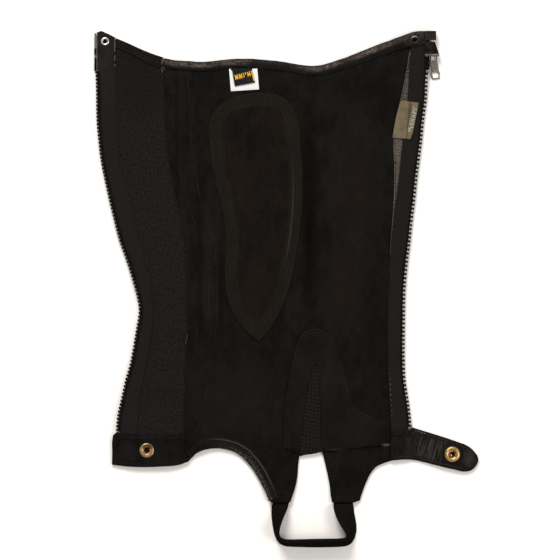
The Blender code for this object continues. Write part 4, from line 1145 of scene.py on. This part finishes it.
# The left row's teeth sit deeper in the edge of their tape, so its cord is thicker and further out
CORDS = [("cord_left", left_frames, 2.7, 0.75), ("cord_right", right_frames, 3.25, 0.55)]
for name, frames, inward, radius in CORDS:
    cord = tube(name, [frame_there @ Vector((0, -inward * MM, 0)) for frame_there in frames], radius)
    hand_over(cord, zip_twill, "zip_cloth")
    cord.data.uv_layers.new(name="seam")

# %% [markdown]
# Each metal is a bright tone and a tone of tarnish, mottled together, with fine scratches. The
# brass has painted shade on parts of both snaps, the pull has painted shade on its loop, and the
# slider's dark lacquer has worn off the rim of its mouth.

# %% Metal finishes
def metal(name, bright, dull, roughness, patch, crinkle_highlights=0.35):
    """Metal with a mottled tarnish and fine scratches."""
    finish = Finish(name, Metallic=1.0)
    tarnish = (finish.grain(patch, 4.0) * (1 - crinkle_highlights) + finish.grain(0.5, 3.0) * crinkle_highlights).contrast(3.5)
    scratches = finish.grain(0.35, 2.0, (6, 1, 1))
    finish.feed("Base Color", finish.mix(tarnish, dull, bright))
    finish.feed("Roughness", tarnish * -0.12 + scratches * 0.16 + roughness)
    finish.relief(scratches * 0.4 + tarnish * 0.3, 0.04)
    return finish


brass = metal("worn_brass", (0.76, 0.5, 0.21, 1), (0.26, 0.14, 0.055, 1), 0.34, 1.4, 0.45)
aged_brass = metal("aged_brass", (0.72, 0.5, 0.25, 1), (0.14, 0.08, 0.035, 1), 0.32, 1.3, 0.5)
# Painted shade on the upper and right side of the left snap
painted_shade_upper = (aged_brass.spot((147.2, 446.7), (6.4, 3.2)) * 1.6).clipped()
repaint(aged_brass, painted_shade_upper * 0.85, (0.09, 0.045, 0.02, 1))
shaded = aged_brass.spot((149, 443.5), (10, 5.5)) * 0.9 + aged_brass.spot((155.5, 450), (4.5, 9)) * 0.7
repaint(aged_brass, shaded.clipped(), (0.15, 0.095, 0.045, 1))
# Painted shade on the upper side of the right snap
shaded_upper_side = brass.spot((451.8, 446.5), (8, 4)) * 0.9
repaint(brass, shaded_upper_side.clipped(), (0.3, 0.19, 0.075, 1))
copper = metal("copper_rivet", (0.85, 0.36, 0.13, 1), (0.1, 0.035, 0.02, 1), 0.35, 1.4)
bright_nickel = metal("bright_nickel", (0.85, 0.84, 0.82, 1), (0.5, 0.48, 0.46, 1), 0.26, 2.2)
dull_nickel = metal("dull_nickel", (0.3, 0.28, 0.265, 1), (0.06, 0.055, 0.05, 1), 0.34, 1.6)
pull_metal = metal("pull_metal", (0.31, 0.275, 0.245, 1), (0.13, 0.115, 0.1, 1), 0.36, 1.2)
shaded_loop = (pull_metal.spot((433.5, 58), (7, 3)) * 2).clipped()
repaint(pull_metal, shaded_loop * 0.9, (0.02, 0.018, 0.016, 1))
lacquered = metal("lacquered_metal", (0.018, 0.0155, 0.014, 1), (0.006, 0.0055, 0.005, 1), 0.44, 1.5)
blackened = metal("blackened_metal", (0.018, 0.016, 0.015, 1), (0.006, 0.0055, 0.005, 1), 0.46, 1.5)

# The lacquer is darkest at the slider's waist, and has worn off a fine line and the rim of its mouth
north = lacquered.parts(lacquered.place, "Y")[0]
WAIST_AT = world((0, 51.2)).y
LINE_AT = world((0, 52.9)).y
RIM_AT = world((0, 55.4)).y
repaint(lacquered, stripe(north, WAIST_AT, 2.4 * MM) * 0.8, (0.007, 0.006, 0.0055, 1))
fine_line = stripe(north, LINE_AT, 0.6 * MM) * lacquered.grain(1.6, 3.0).contrast(5.0)
repaint(lacquered, fine_line * 0.8, (0.1, 0.09, 0.082, 1))
from_rim = (north - RIM_AT) * (1 / (1.5 * MM)) + lacquered.grain(1.4, 3.0) * 1.6 - 0.8
repaint(lacquered, (1 - from_rim.size()).contrast(3.0, 0.35), (0.17, 0.15, 0.135, 1))

# The right eyelet has lost its plating, except on an arc at its upper left
worn_nickel = metal("worn_nickel", (0.06, 0.052, 0.046, 1), (0.02, 0.017, 0.015, 1), 0.4, 1.4)
plated = (worn_nickel.spot((413.3, 37.6), (4.6, 2.0)) * 1.5).clipped()
repaint(worn_nickel, plated, (0.15, 0.14, 0.13, 1))
print("metals and all other finishes so far", len(bpy.data.materials))

# %% [markdown]
# A cast part is a copy of its solid with its flat faces made whole again, so that whole faces can
# be picked. The slider's top rises in two steps, each a smaller outline pulled up from the last.
# The box has a shallow pocket on both sides.

# %% Slider, box, bail and pull
def cast_copy(name, node, edge, angle, wanted=None, *steps):
    """A copy of a cast solid, shaped by steps on the faces that a test picks, its edges rounded."""
    piece = welded_copy(node, name)
    edit(piece, ("dissolve_limited", {"angle_limit": math.radians(2)}))
    if wanted:
        edit_faces(piece, wanted, *steps)
    bevel(piece, edge, angle)
    smooth_by(piece, 40)
    return piece


STEP = 0.5 * MM
slider_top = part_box("zip_slider")[1].z
SLIDER_MIDDLE = world((431.4, 50), slider_top)


def raised_step(inset, shares):
    """Steps that raise a smaller outline from the slider's top."""
    return (("inset", {"thickness": inset * MM, "depth": 0.0}),
            ("extrude_region_move", {"TRANSFORM_OT_translate": {"value": (0, 0, STEP)}}),
            ("transform.resize", {"value": shares, "center_override": SLIDER_MIDDLE}))


slider = cast_copy("slider", "zip_slider", 0.35, 30,
                   lambda face: face.normal.z > 0.9 and face.center.z > slider_top - STEP,
                   *raised_step(0.9, (0.86, 0.82, 1)), *raised_step(1.5, (0.8, 0.7, 1)))
hand_over(slider, lacquered, "dark_metal", "zip_slider")

box_piece = cast_copy("retaining_box", "zip_box", 0.3, 30, lambda face: abs(face.normal.z) > 0.9,
                      ("inset", {"thickness": 1.25 * MM, "depth": 0.0, "use_individual": True}),
                      ("inset", {"thickness": 0.25 * MM, "depth": -0.5 * MM, "use_individual": True}))
hand_over(box_piece, scuffed_plastic, "black_plastic", "zip_box")

hand_over(cast_copy("bail", "zip_bail", 0.4, 38), blackened, "dark_metal", "zip_bail")
hand_over(cast_copy("pull_tab", "zip_pull", 0.3, 40), pull_metal, "nickel", "zip_pull", body="pull")

# %% [markdown]
# At the left row's top sits the pin that goes through the slider into the box. It is bright metal
# at first, then wrapped in black plastic down to the first tooth.

# %% Pin
PIN_ACROSS = 95.6
PIN_ENDS = (33.6, 71.6)
low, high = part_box("zip_pin")
pin_level = (low.z + high.z) / 2
pin_radius = (high.x - low.x) / 2


def rod(name, start, end, radius, finish, slot, replaced=(), across=PIN_ACROSS, level=pin_level):
    """A round rod lying down the table, with rounded ends."""
    middle = world((across, (start + end) / 2), level)
    bpy.ops.mesh.primitive_cylinder_add(vertices=16, radius=radius, depth=(end - start) * MM,
                                        location=middle, rotation=(math.pi / 2, 0, 0))
    piece = settle(name)
    bevel(piece, 0.4 * radius / MM, 60, segments=3)
    smooth_by(piece, 50)
    hand_over(piece, finish, slot, *replaced)


rod("pin", *PIN_ENDS, pin_radius * 0.9, dull_nickel, "nickel", ["zip_pin"])
rod("pin_wrap_upper", 48.6, 55.4, pin_radius, plastic, "black_plastic")
rod("pin_wrap_lower", 58.2, 71.4, pin_radius, plastic, "black_plastic")
low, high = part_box("zip_box")
rod("box_pin", 38, 45.5, 1.7 * MM, plastic, "black_plastic", across=427.2, level=(low.z + high.z) / 2)
rod("box_seat", 31.6, 38, 0.6 * MM, plastic, "black_plastic", across=424.6, level=low.z - 0.9 * MM)

# %% [markdown]
# Below the slider the row starts with a metal stop, and the chain under the slider's mouth is
# still joined, so a few teeth lie close together there.

# %% Stop
stop_level = height_on((423.5, 72), ["tape_right"]) - HALF_TAPE
bpy.ops.mesh.primitive_cube_add(size=1, location=world((426.9, 72.1), stop_level))
stop = settle("row_stop", (3.6 * MM, 2.9 * MM, 4.4 * MM))
apply(stop, "BEVEL", width=0.7 * MM, segments=3)
smooth_by(stop, 50)
hand_over(stop, dull_nickel, "nickel")

# The last teeth of the row are already pulled together at the slider's mouth
JOINED_PITCH = 2.05
TO_MIDDLE = 0.9
half_turn = Matrix.Rotation(math.pi, 4, "Z")
chain = []
for spot, direction in steps_along(curve_through(RIGHT_TEETH[:2], 1.0), JOINED_PITCH, 0.6):
    place = world((spot[0] + TO_MIDDLE, spot[1]), stop_level)
    chain.append(turned_frame(place, direction, 0, 0, (1, -1, 1)) @ half_turn)
chain_teeth = place_copies("chain_teeth", tooth, chain)
smooth_by(chain_teeth, 40)
hand_over(chain_teeth, plastic, "black_plastic")

# %% [markdown]
# Eyelets and snaps are turned parts. Their solids carry the right profile in a ring of flat sides,
# so a subdivision surface makes them round, and tarnish breaks up their shine.

# %% Eyelets and snaps
def turned_copy(name, node, finish, slot):
    piece = rounded_copy(name, node, sharp=70, hold=0.5)
    smooth_by(piece, 45)
    hand_over(piece, finish, slot, node)


turned_copy("left_eyelet", "eyelet_left", bright_nickel, "nickel")
turned_copy("right_eyelet", "eyelet_right", worn_nickel, "nickel")
turned_copy("post_of_snap", "snap_post", aged_brass, "brass")
turned_copy("stud_of_snap", "snap_stud", brass, "brass")
turned_copy("socket_of_snap", "snap_socket", brass, "brass")
turned_copy("cap_of_snap", "snap_cap", brass, "brass")


def disc(name, spot, level, radius, sides):
    """A thin disc lying on the table, with its radius in millimetres."""
    bpy.ops.mesh.primitive_cylinder_add(vertices=sides, radius=radius * MM, depth=0.5 * MM,
                                        location=world(spot, level))
    return settle(name)


def shade_disc(name, node, spot, finish):
    """A disc that closes an eyelet's opening from behind, as painted shade in the hole."""
    piece = disc(name, spot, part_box(node)[0].z + 0.9 * MM, 2.05, 20)
    bevel(piece, 0.12, 50)
    smooth_by(piece, 50)
    hand_over(piece, finish, "dark_metal")


# Dark metals that stand for painted shade inside the eyelets and snaps
shade_in_holes = metal("hole_shade_metal", (0.018, 0.01, 0.007, 1), (0.006, 0.0035, 0.0025, 1), 0.6, 1.0)
paler_hole_shade = metal("paler_hole_shade", (0.17, 0.11, 0.08, 1), (0.06, 0.04, 0.03, 1), 0.6, 1.0)
shade_disc("eyelet_shade_disc_left", "eyelet_left", (105.2, 41.8), shade_in_holes)
shade_disc("eyelet_shade_disc_right", "eyelet_right", (414.4, 40.5), paler_hole_shade)


def well(name, spot, level):
    """A black disc in the opening in the middle of a snap, as painted shade in its depth."""
    piece = disc(name, spot, level, 3.0, 24)
    edit_faces(piece, lambda face: face.normal.z > 0.9,
               ("inset", {"thickness": 0.3 * MM, "depth": -0.2 * MM}))
    smooth_by(piece, 50)
    hand_over(piece, shade_in_holes, "dark_metal")


def rolled_rivet(name, spot, top, radius, tube_radius):
    """The rolled end of a rivet inside a snap, a small ring round its opening."""
    bpy.ops.mesh.primitive_torus_add(location=world(spot, top), major_segments=24, minor_segments=10,
                                     major_radius=radius * MM, minor_radius=tube_radius * MM)
    ring = settle(name)
    smooth_by(ring, 60)
    hand_over(ring, aged_brass, "brass")


post_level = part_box("snap_post")[1].z
socket_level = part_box("snap_socket")[1].z
rolled_rivet("rivet_left", LEFT_SNAP, post_level - 0.1 * MM, 3.3, 0.4)
well("well_left", LEFT_SNAP, post_level - 0.05 * MM)
rolled_rivet("rivet_right", RIGHT_SNAP, socket_level - 0.2 * MM, 3.2, 0.35)
well("well_right", RIGHT_SNAP, socket_level - 0.15 * MM)
bpy.ops.mesh.primitive_uv_sphere_add(segments=12, ring_count=8, radius=0.95 * MM,
                                     location=world((450.5, 454.9), socket_level - 0.1 * MM))
flake = settle("torn_rivet_end", (1.0, 1.4, 0.5))
smooth_by(flake, 60)
hand_over(flake, copper, "brass")

# %% [markdown]
# The labels are thin satin ribbons with sealed edges. Two of them get bars of thread as an ornament,
# in the last step.

# %% Labels
def ribbon_finish(name, dark, light, shine=0.3):
    """Satin ribbon: fine ribs and a soft gloss."""
    finish = Finish(name, Roughness=0.5, Specular_IOR_Level=shine)
    east = finish.parts(finish.place, "X")[0]
    threads = (east * (math.tau / (0.55 * MM)) + finish.grain(3, 2.0) * 2).sine() * 0.5 + 0.5
    cloud = finish.grain(7, 3.0).contrast(2.0)
    finish.feed("Base Color", finish.mix((threads * 0.3 + cloud * 0.7).clipped(), dark, light))
    finish.relief(threads, 0.03)
    return finish


white_satin = ribbon_finish("white_satin", (0.59, 0.605, 0.62, 1), (0.71, 0.73, 0.75, 1))
black_satin = ribbon_finish("black_satin", seen(12, 11, 11), seen(33, 31, 30), 0.12)
olive_ribbon = ribbon_finish("olive_ribbon", seen(88, 78, 59), seen(134, 122, 95), 0.12)
# The dark line along the label's fold is painted shade, and the brown beside it is a painted shadow of its
# curled half
east, north = olive_ribbon.parts(olive_ribbon.place)
FOLD_TOP = world((409.3, 101))
FOLD_SLOPE = 0.085
wander = (olive_ribbon.grain(9, 2.0) - 0.5) * (1.2 * MM)
off_fold = east - FOLD_TOP.x - (north - FOLD_TOP.y) * FOLD_SLOPE + wander
crease = (1 - off_fold.size() * (1 / (0.9 * MM))).clipped()
curl_shadow = olive_ribbon.spot((410.6, 113), (2.6, 14))
repaint(olive_ribbon, (crease * 0.75 + curl_shadow * 0.5).clipped(), seen(56, 46, 33))


def rippled(spot):
    """Small ripples in a sewn-on label."""
    return 0.25 * noise.noise(Vector((spot[0] / 7, spot[1] / 7, 2.0)))


dress("label_white", "white_label", 0.7, white_satin, "white_satin", (28.7, 22.4), ["panel"],
      rounding=3, edge=0.2, shape=rippled)
dress("label_black", "black_label", 0.7, black_satin, "black_satin", (20.7, 17.2), ["label_white"],
      rounding=3, edge=0.2, shape=rippled)
SIDE_FOLD = curve_through([(409.4, 100), (408.6, 112), (407.2, 126), (405.8, 141)], 4)


def folded(spot):
    """The side label's lengthwise fold, with its right half standing a little higher."""
    across = nearest_on(SIDE_FOLD, spot)[0]
    fold = -0.7 * max(0.0, 1 - abs(across) / 1.3) ** 1.5
    raised = 0.9 * min(1.0, max(0.0, -across / 2.5)) * max(0.0, 1 + across / 14)
    return fold + raised + 0.35 * noise.noise(Vector((spot[0] / 5, spot[1] / 11, 2.0)))


dress("label_side", "side_label", 0.7, olive_ribbon, "olive_ribbon", (20, 39),
      ["tape_right", "facing", "panel"], rounding=3, edge=0.2, shape=folded)

# %% [markdown]
# All the sewing is made of one stitch, a short thread that dips into the cloth at both ends. The
# stitches of a seam drop onto the pieces below them, tip with the cloth, and vary a little in
# length, so that no seam looks drawn with a ruler.

# %% One stitch
STITCH_LENGTH = 1.7
THREAD = 0.3
bpy.ops.mesh.primitive_cylinder_add(vertices=6, radius=THREAD * MM, depth=STITCH_LENGTH * MM,
                                    location=(0, 0, 0), rotation=(0, math.pi / 2, 0))
stitch = settle("stitch_pattern")
edit_faces(stitch, lambda face: abs(face.normal.x) > 0.9,
           ("extrude_region_shrink_fatten", {"TRANSFORM_OT_shrink_fatten": {"value": 0.28 * MM}}),
           ("transform.resize", {"value": (1, 0.55, 0.55), "center_override": (0, 0, -0.1 * MM)}))
smooth_by(stitch, 60)


def thread(name, dark, light, shine=0.25):
    """Sewing thread between two tones, worn in long stretches."""
    finish = Finish(name, Roughness=0.55, Specular_IOR_Level=shine)
    ply = finish.grain(0.5, 2.0)
    worn = finish.grain(16, 3.0).contrast(4.0)
    finish.feed("Base Color", finish.mix((ply * 0.3 + worn * 0.8 - 0.1).clipped(), dark, light))
    finish.relief(ply, 0.05)
    return finish


dark_thread = thread("dark_thread", seen(14, 13, 12), seen(38, 35, 32), 0.15)
grey_thread = thread("grey_thread", seen(18, 17, 16), seen(52, 50, 47), 0.1)
worn_thread = thread("worn_thread", seen(22, 20, 19), seen(74, 69, 64), 0.1)
faded_thread = thread("faded_thread", seen(50, 48, 42), seen(112, 109, 98))
light_thread = thread("light_thread", seen(58, 53, 48), seen(132, 124, 115))
gold_thread = thread("gold_thread", seen(214, 150, 20, 1.2), seen(250, 206, 66, 1.3))
pale_thread = thread("pale_thread", seen(130, 126, 114), seen(214, 210, 198))
violet_thread = thread("violet_thread", seen(36, 31, 44), seen(62, 54, 72))
print("a stitch has", len(stitch.data.polygons), "faces")

# %% [markdown]
# A seam is given by a few places. Its stitches stand one pitch apart on the smooth curve through
# them, and each end of a stitch takes its height from the pieces that the seam is sewn on.

# %% Sewing a row
THREAD_LIFT = 0.1


def sew(name, points, on, finish, pitch=3.1, size=1.0, slant=0.0, under=False, smooth_line=True,
        thick=1.0, skip=0.0):
    """Sews one row of stitches through the given places, on the outer side if under."""
    line = curve_through(points, 1.5) if smooth_line else points
    frames = []
    for spot, direction in steps_along(line, pitch, pitch * 0.5):
        half = 0.45 * STITCH_LENGTH * size
        turn = slant + chance.uniform(-0.07, 0.07)
        heading = (direction[0] * math.cos(turn) - direction[1] * math.sin(turn),
                   direction[0] * math.sin(turn) + direction[1] * math.cos(turn))
        ends = [(spot[0] + heading[0] * way, spot[1] + heading[1] * way) for way in (-half, half)]
        levels = [height_on(end, on, under) for end in ends]
        if None in levels or chance.random() < skip:
            continue
        slope = math.atan2(levels[1] - levels[0], 2 * half * MM)
        out = -THREAD_LIFT if under else THREAD_LIFT
        length = size * chance.uniform(0.9, 1.08)
        centre = world(spot, (levels[0] + levels[1]) / 2 + out * MM)
        frames.append(turned_frame(centre, heading, slope, 0.0, (length, thick, 1)))
    row = place_copies(name, stitch, frames)
    row.data.materials.append(finish.material)
    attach(row, "chap")
    print(name, len(frames), "stitches")


MARGIN_SEAMS = [
    [(173.5, 76), (173.8, 110), (175, 149), (183, 187), (194, 224), (198, 261), (198, 317), (194, 355),
     (188.5, 396), (187, 430)],
    [(188, 72), (189.5, 110), (192, 149), (198, 187), (203, 209), (213, 239), (216.5, 276), (216.5, 317),
     (213, 355), (207, 388), (203, 411), (195, 438)],
    [(207.5, 252), (208.4, 290), (207.5, 330)],
]
INSERT_SEAM = [
    (254, 106), (276, 108), (287, 123), (291, 157), (293, 205), (289, 254), (284, 287), (271, 310),
    (260, 324), (242.6, 306), (233, 280), (236, 243), (231, 209), (226, 179), (224, 149), (226, 127),
    (238, 110), (254, 106),
]
for number, points in enumerate(MARGIN_SEAMS):
    seam_thread = grey_thread if number else dark_thread
    sew(f"margin_seam_{number}", points, ["panel"], seam_thread, 3.3, 0.75, thick=1.5)
    sew(f"margin_seam_{number}_outside", points, ["stretch_panel", "panel"], dark_thread, under=True)
insert_line = curve_through(INSERT_SEAM, 1.5)
sew("insert_seam_inner", INSERT_SEAM, ["insert"], grey_thread, 3.2, 0.7, thick=1.4)
sew("insert_seam_outer", beside(insert_line, -3.3), ["insert", "panel"], dark_thread, 2.9, thick=1.3)
sew("insert_seam_outside", INSERT_SEAM, ["insert", "panel"], dark_thread, 2.9, under=True)
sew("insert_edge_seam", beside(curve_through(CALF_OUTLINE, 1.5), 2.2), ["insert"], dark_thread, 2.9)

# %% [markdown]
# The instep overlay is held down with a paler thread that shows as a thin line round its arch.

# %% Sewing the instep
arch_line = curve_through(ARCH_OF_OVERLAY, 1.5)
sew("overlay_seam", beside(arch_line, 1.6), ["overlay"], grey_thread, 2.6, 0.9)
sew("overlay_seam_inner", beside(arch_line, 4.6), ["overlay"], dark_thread, 2.8)
sew("overlay_seam_outside", beside(arch_line, 1.6), ["panel"], dark_thread, 2.8, under=True)
GUSSET_SEAMS = [
    ([(311, 368), (307, 381), (304, 401), (299.6, 446)], dark_thread),
    ([(308.4, 367), (304.6, 381), (301.6, 401), (297, 446)], dark_thread),
    ([(324.4, 372), (326, 400), (326.6, 446)], grey_thread),
    ([(321.6, 376), (322.8, 400), (323.6, 446)], dark_thread),
]
for number, (points, finish) in enumerate(GUSSET_SEAMS):
    sew(f"gusset_seam_{number}", points, ["overlay", "gusset"], finish, 2.6, 0.9)
WING_SEAMS = {
    "left": [(250, 441), (264, 444.4), (280, 447.5), (290, 450.5)],
    "right": [(327, 453.6), (346, 450.4), (366, 447.8), (388, 446.4)],
}
for wing, points in WING_SEAMS.items():
    sew(f"wing_seam_{wing}", points, ["panel", "overlay"], dark_thread, 2.7)
for side_number, (start, end) in enumerate([(274.6, 288), (335.4, 353.4)]):
    for row_number, down in enumerate((496.2, 498.2, 500.2)):
        sew(f"strap_end_{side_number}_{row_number}", [(start, down), (end, down)], ["panel"], dark_thread,
            2.2, 0.9, smooth_line=False)

# %% [markdown]
# The tapes, hem, bindings and both fastenings are topstitched near their edges.

# %% Sewing the edges
left_tape_line = curve_through(LEFT_TAPE_EDGE, 1.5)
right_tape_line = curve_through(RIGHT_TAPE_EDGE, 1.5)
for number, (start, end) in enumerate(((39, 51), (56, 61), (64.5, 67))):
    sew(f"tape_left_head_{number}", [(114.8, start), (114.9, end)], ["tape_left"], faded_thread, 2.6, 1.0,
        slant=0.3, smooth_line=False, thick=1.9)
left_seam = [point for point in beside(left_tape_line, 1.2) if point[1] > 72]
sew("tape_left_seam", left_seam, ["tape_left"], grey_thread, 3.0)
sew("tape_left_outside", beside(left_tape_line, 2.0), ["tape_left", "stretch_panel"], dark_thread, under=True)
right_seam = [point for point in beside(right_tape_line, -1.4) if point[1] > 50]
sew("tape_right_seam", right_seam, ["tape_right"], dark_thread, 3.0)
BRIGHT_DOTS = [(388.6, 366), (388.8, 371), (389.3, 376), (391.4, 414), (391.8, 419)]
sew("tape_right_dots", BRIGHT_DOTS, ["tape_right"], light_thread, 5.2, 0.8)
facing_seam = [point for point in beside(curve_through(FACING_EDGE, 1.5), -1.3) if point[1] > 54]
sew("facing_seam", facing_seam, ["facing"], dark_thread, 2.8)
HEM_UPPER = [(118, 47), (134, 54.6), (150, 62.4), (160, 67)]
HEM_LOWER = [(118, 44.4), (134, 52), (150, 59.8), (160, 64.4)]
sew("hem_seam_upper", HEM_UPPER, ["stretch_hem"], grey_thread, 2.8, 0.9)
sew("hem_seam_lower", HEM_LOWER, ["stretch_hem"], dark_thread, 2.8, 0.9)
top_line = curve_through(TOP_EDGE, 1.5)
top_seam = [point for point in beside(top_line, 7.4) if 166 < point[0] < 400]
sew("binding_top_seam", top_seam, ["binding_top"], dark_thread)
top_seam_outside = [point for point in beside(top_line, 6.0) if 168 < point[0] < 400]
sew("binding_top_outside", top_seam_outside, ["binding_top"], dark_thread, under=True)
arch_seam = [point for point in beside(curve_through(ARCH_EDGE, 1.5), -8.6) if point[0] > 200]
sew("binding_arch_seam", arch_seam, ["binding_arch", "panel"], dark_thread, 2.8)
START_ROWS = [((162.3, 60), (162, 64), light_thread), ((161.6, 68), (162.4, 72), light_thread),
              ((163.9, 58.6), (164.5, 76), dark_thread)]
for number, (start, end, finish) in enumerate(START_ROWS):
    sew(f"binding_start_{number}", [start, end], ["binding_top", "stretch_hem", "stretch_panel", "panel"],
        finish, 1.6, 1.0, smooth_line=False, thick=1.6)

TAB_SEAM = [(186.6, 437.4), (150, 437.2), (121, 437), (116.4, 439), (115.2, 450), (114.9, 461.3), (125, 463),
            (145, 463.8), (165, 463), (180, 461.6), (186, 459)]
STRAP_SEAM = [(393, 434), (411, 432.6), (424, 433.6), (436, 437.3), (447, 440.8), (457, 444.4),
              (466.4, 448.4), (472.2, 453.6), (475, 458.6), (473.2, 463.2), (468.8, 467.4), (464, 468.3),
              (453.5, 466.2), (440, 463.1), (424.8, 459.2), (415, 457), (401, 456.4), (393, 457.4)]
sew("tab_seam", TAB_SEAM, ["tab"], dark_thread, 3.0)
sew("tab_seam_outside", TAB_SEAM, ["tab"], dark_thread, 3.0, under=True)
sew("strap_seam", STRAP_SEAM, ["strap"], worn_thread, 3.0)
sew("strap_seam_outside", STRAP_SEAM, ["strap"], dark_thread, 3.0, under=True)
sew("strap_tack", [(414, 430.2), (419, 431.2), (425, 433.2)], ["strap"], light_thread, 3.0, 0.9)
sew("tape_right_tack", [(392.6, 426.2), (402.6, 425)], ["tape_right"], violet_thread, 3.4, 0.8)
LOOSE_END = [(187.6, 334.5), (187, 338), (185.8, 343)]
sew("loose_thread", LOOSE_END, ["panel", "stretch_panel"], light_thread, 1.9, 0.9)

# %% [markdown]
# The labels get their ornament: a row of gold bars and a gold edge on the black tag, and a column
# of pale bars down the olive one.

# %% Sewing the labels
def bars(name, start, end, height, pitch, on, finish):
    """Bars along a line, a leaning stitch below an upright one, with some left out at random.

    Between every two bars stands a shorter stitch.
    """
    length = math.dist(start, end)
    up = ((end[1] - start[1]) / length, -(end[0] - start[0]) / length)
    for number, (rise, every, part) in enumerate(((-0.3, 1, 0.5), (0.3, 1, 0.5), (0.0, 2, 0.4))):
        shift = pitch * 0.5 * (every - 1)
        line = [(x + up[0] * rise * height, y + up[1] * rise * height) for x, y in (start, end)]
        sew(f"{name}_{number}", line, on, finish, pitch * every, height * part / STITCH_LENGTH,
            slant=math.pi / 2 - 0.3 * (number - 1) + shift * 0.2, smooth_line=False, thick=1.7, skip=0.22)


bars("gold_ornament", (234.4, 78.2), (251, 74), 4.0, 2.1, ["label_black"], gold_thread)
for number, down in enumerate((69.5, 70.3)):
    sew(f"black_label_tack_{number}", [(230.9, down), (252.2, down - 0.1)], ["label_white", "label_black"],
        dark_thread, 1.4, 1.0, smooth_line=False, thick=1.5)
sew("gold_edge", [(251, 71.2), (254, 81)], ["label_black"], gold_thread, 0.7, 0.62, slant=1.3,
    smooth_line=False)
bars("side_ornament", (414.6, 106.8), (409.6, 131.6), 4.2, 2.0, ["label_side"], pale_thread)
bpy.data.objects.remove(tooth)
bpy.data.objects.remove(stitch)
made = sum(len(piece.data.polygons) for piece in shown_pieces())
print("faces in all", made)
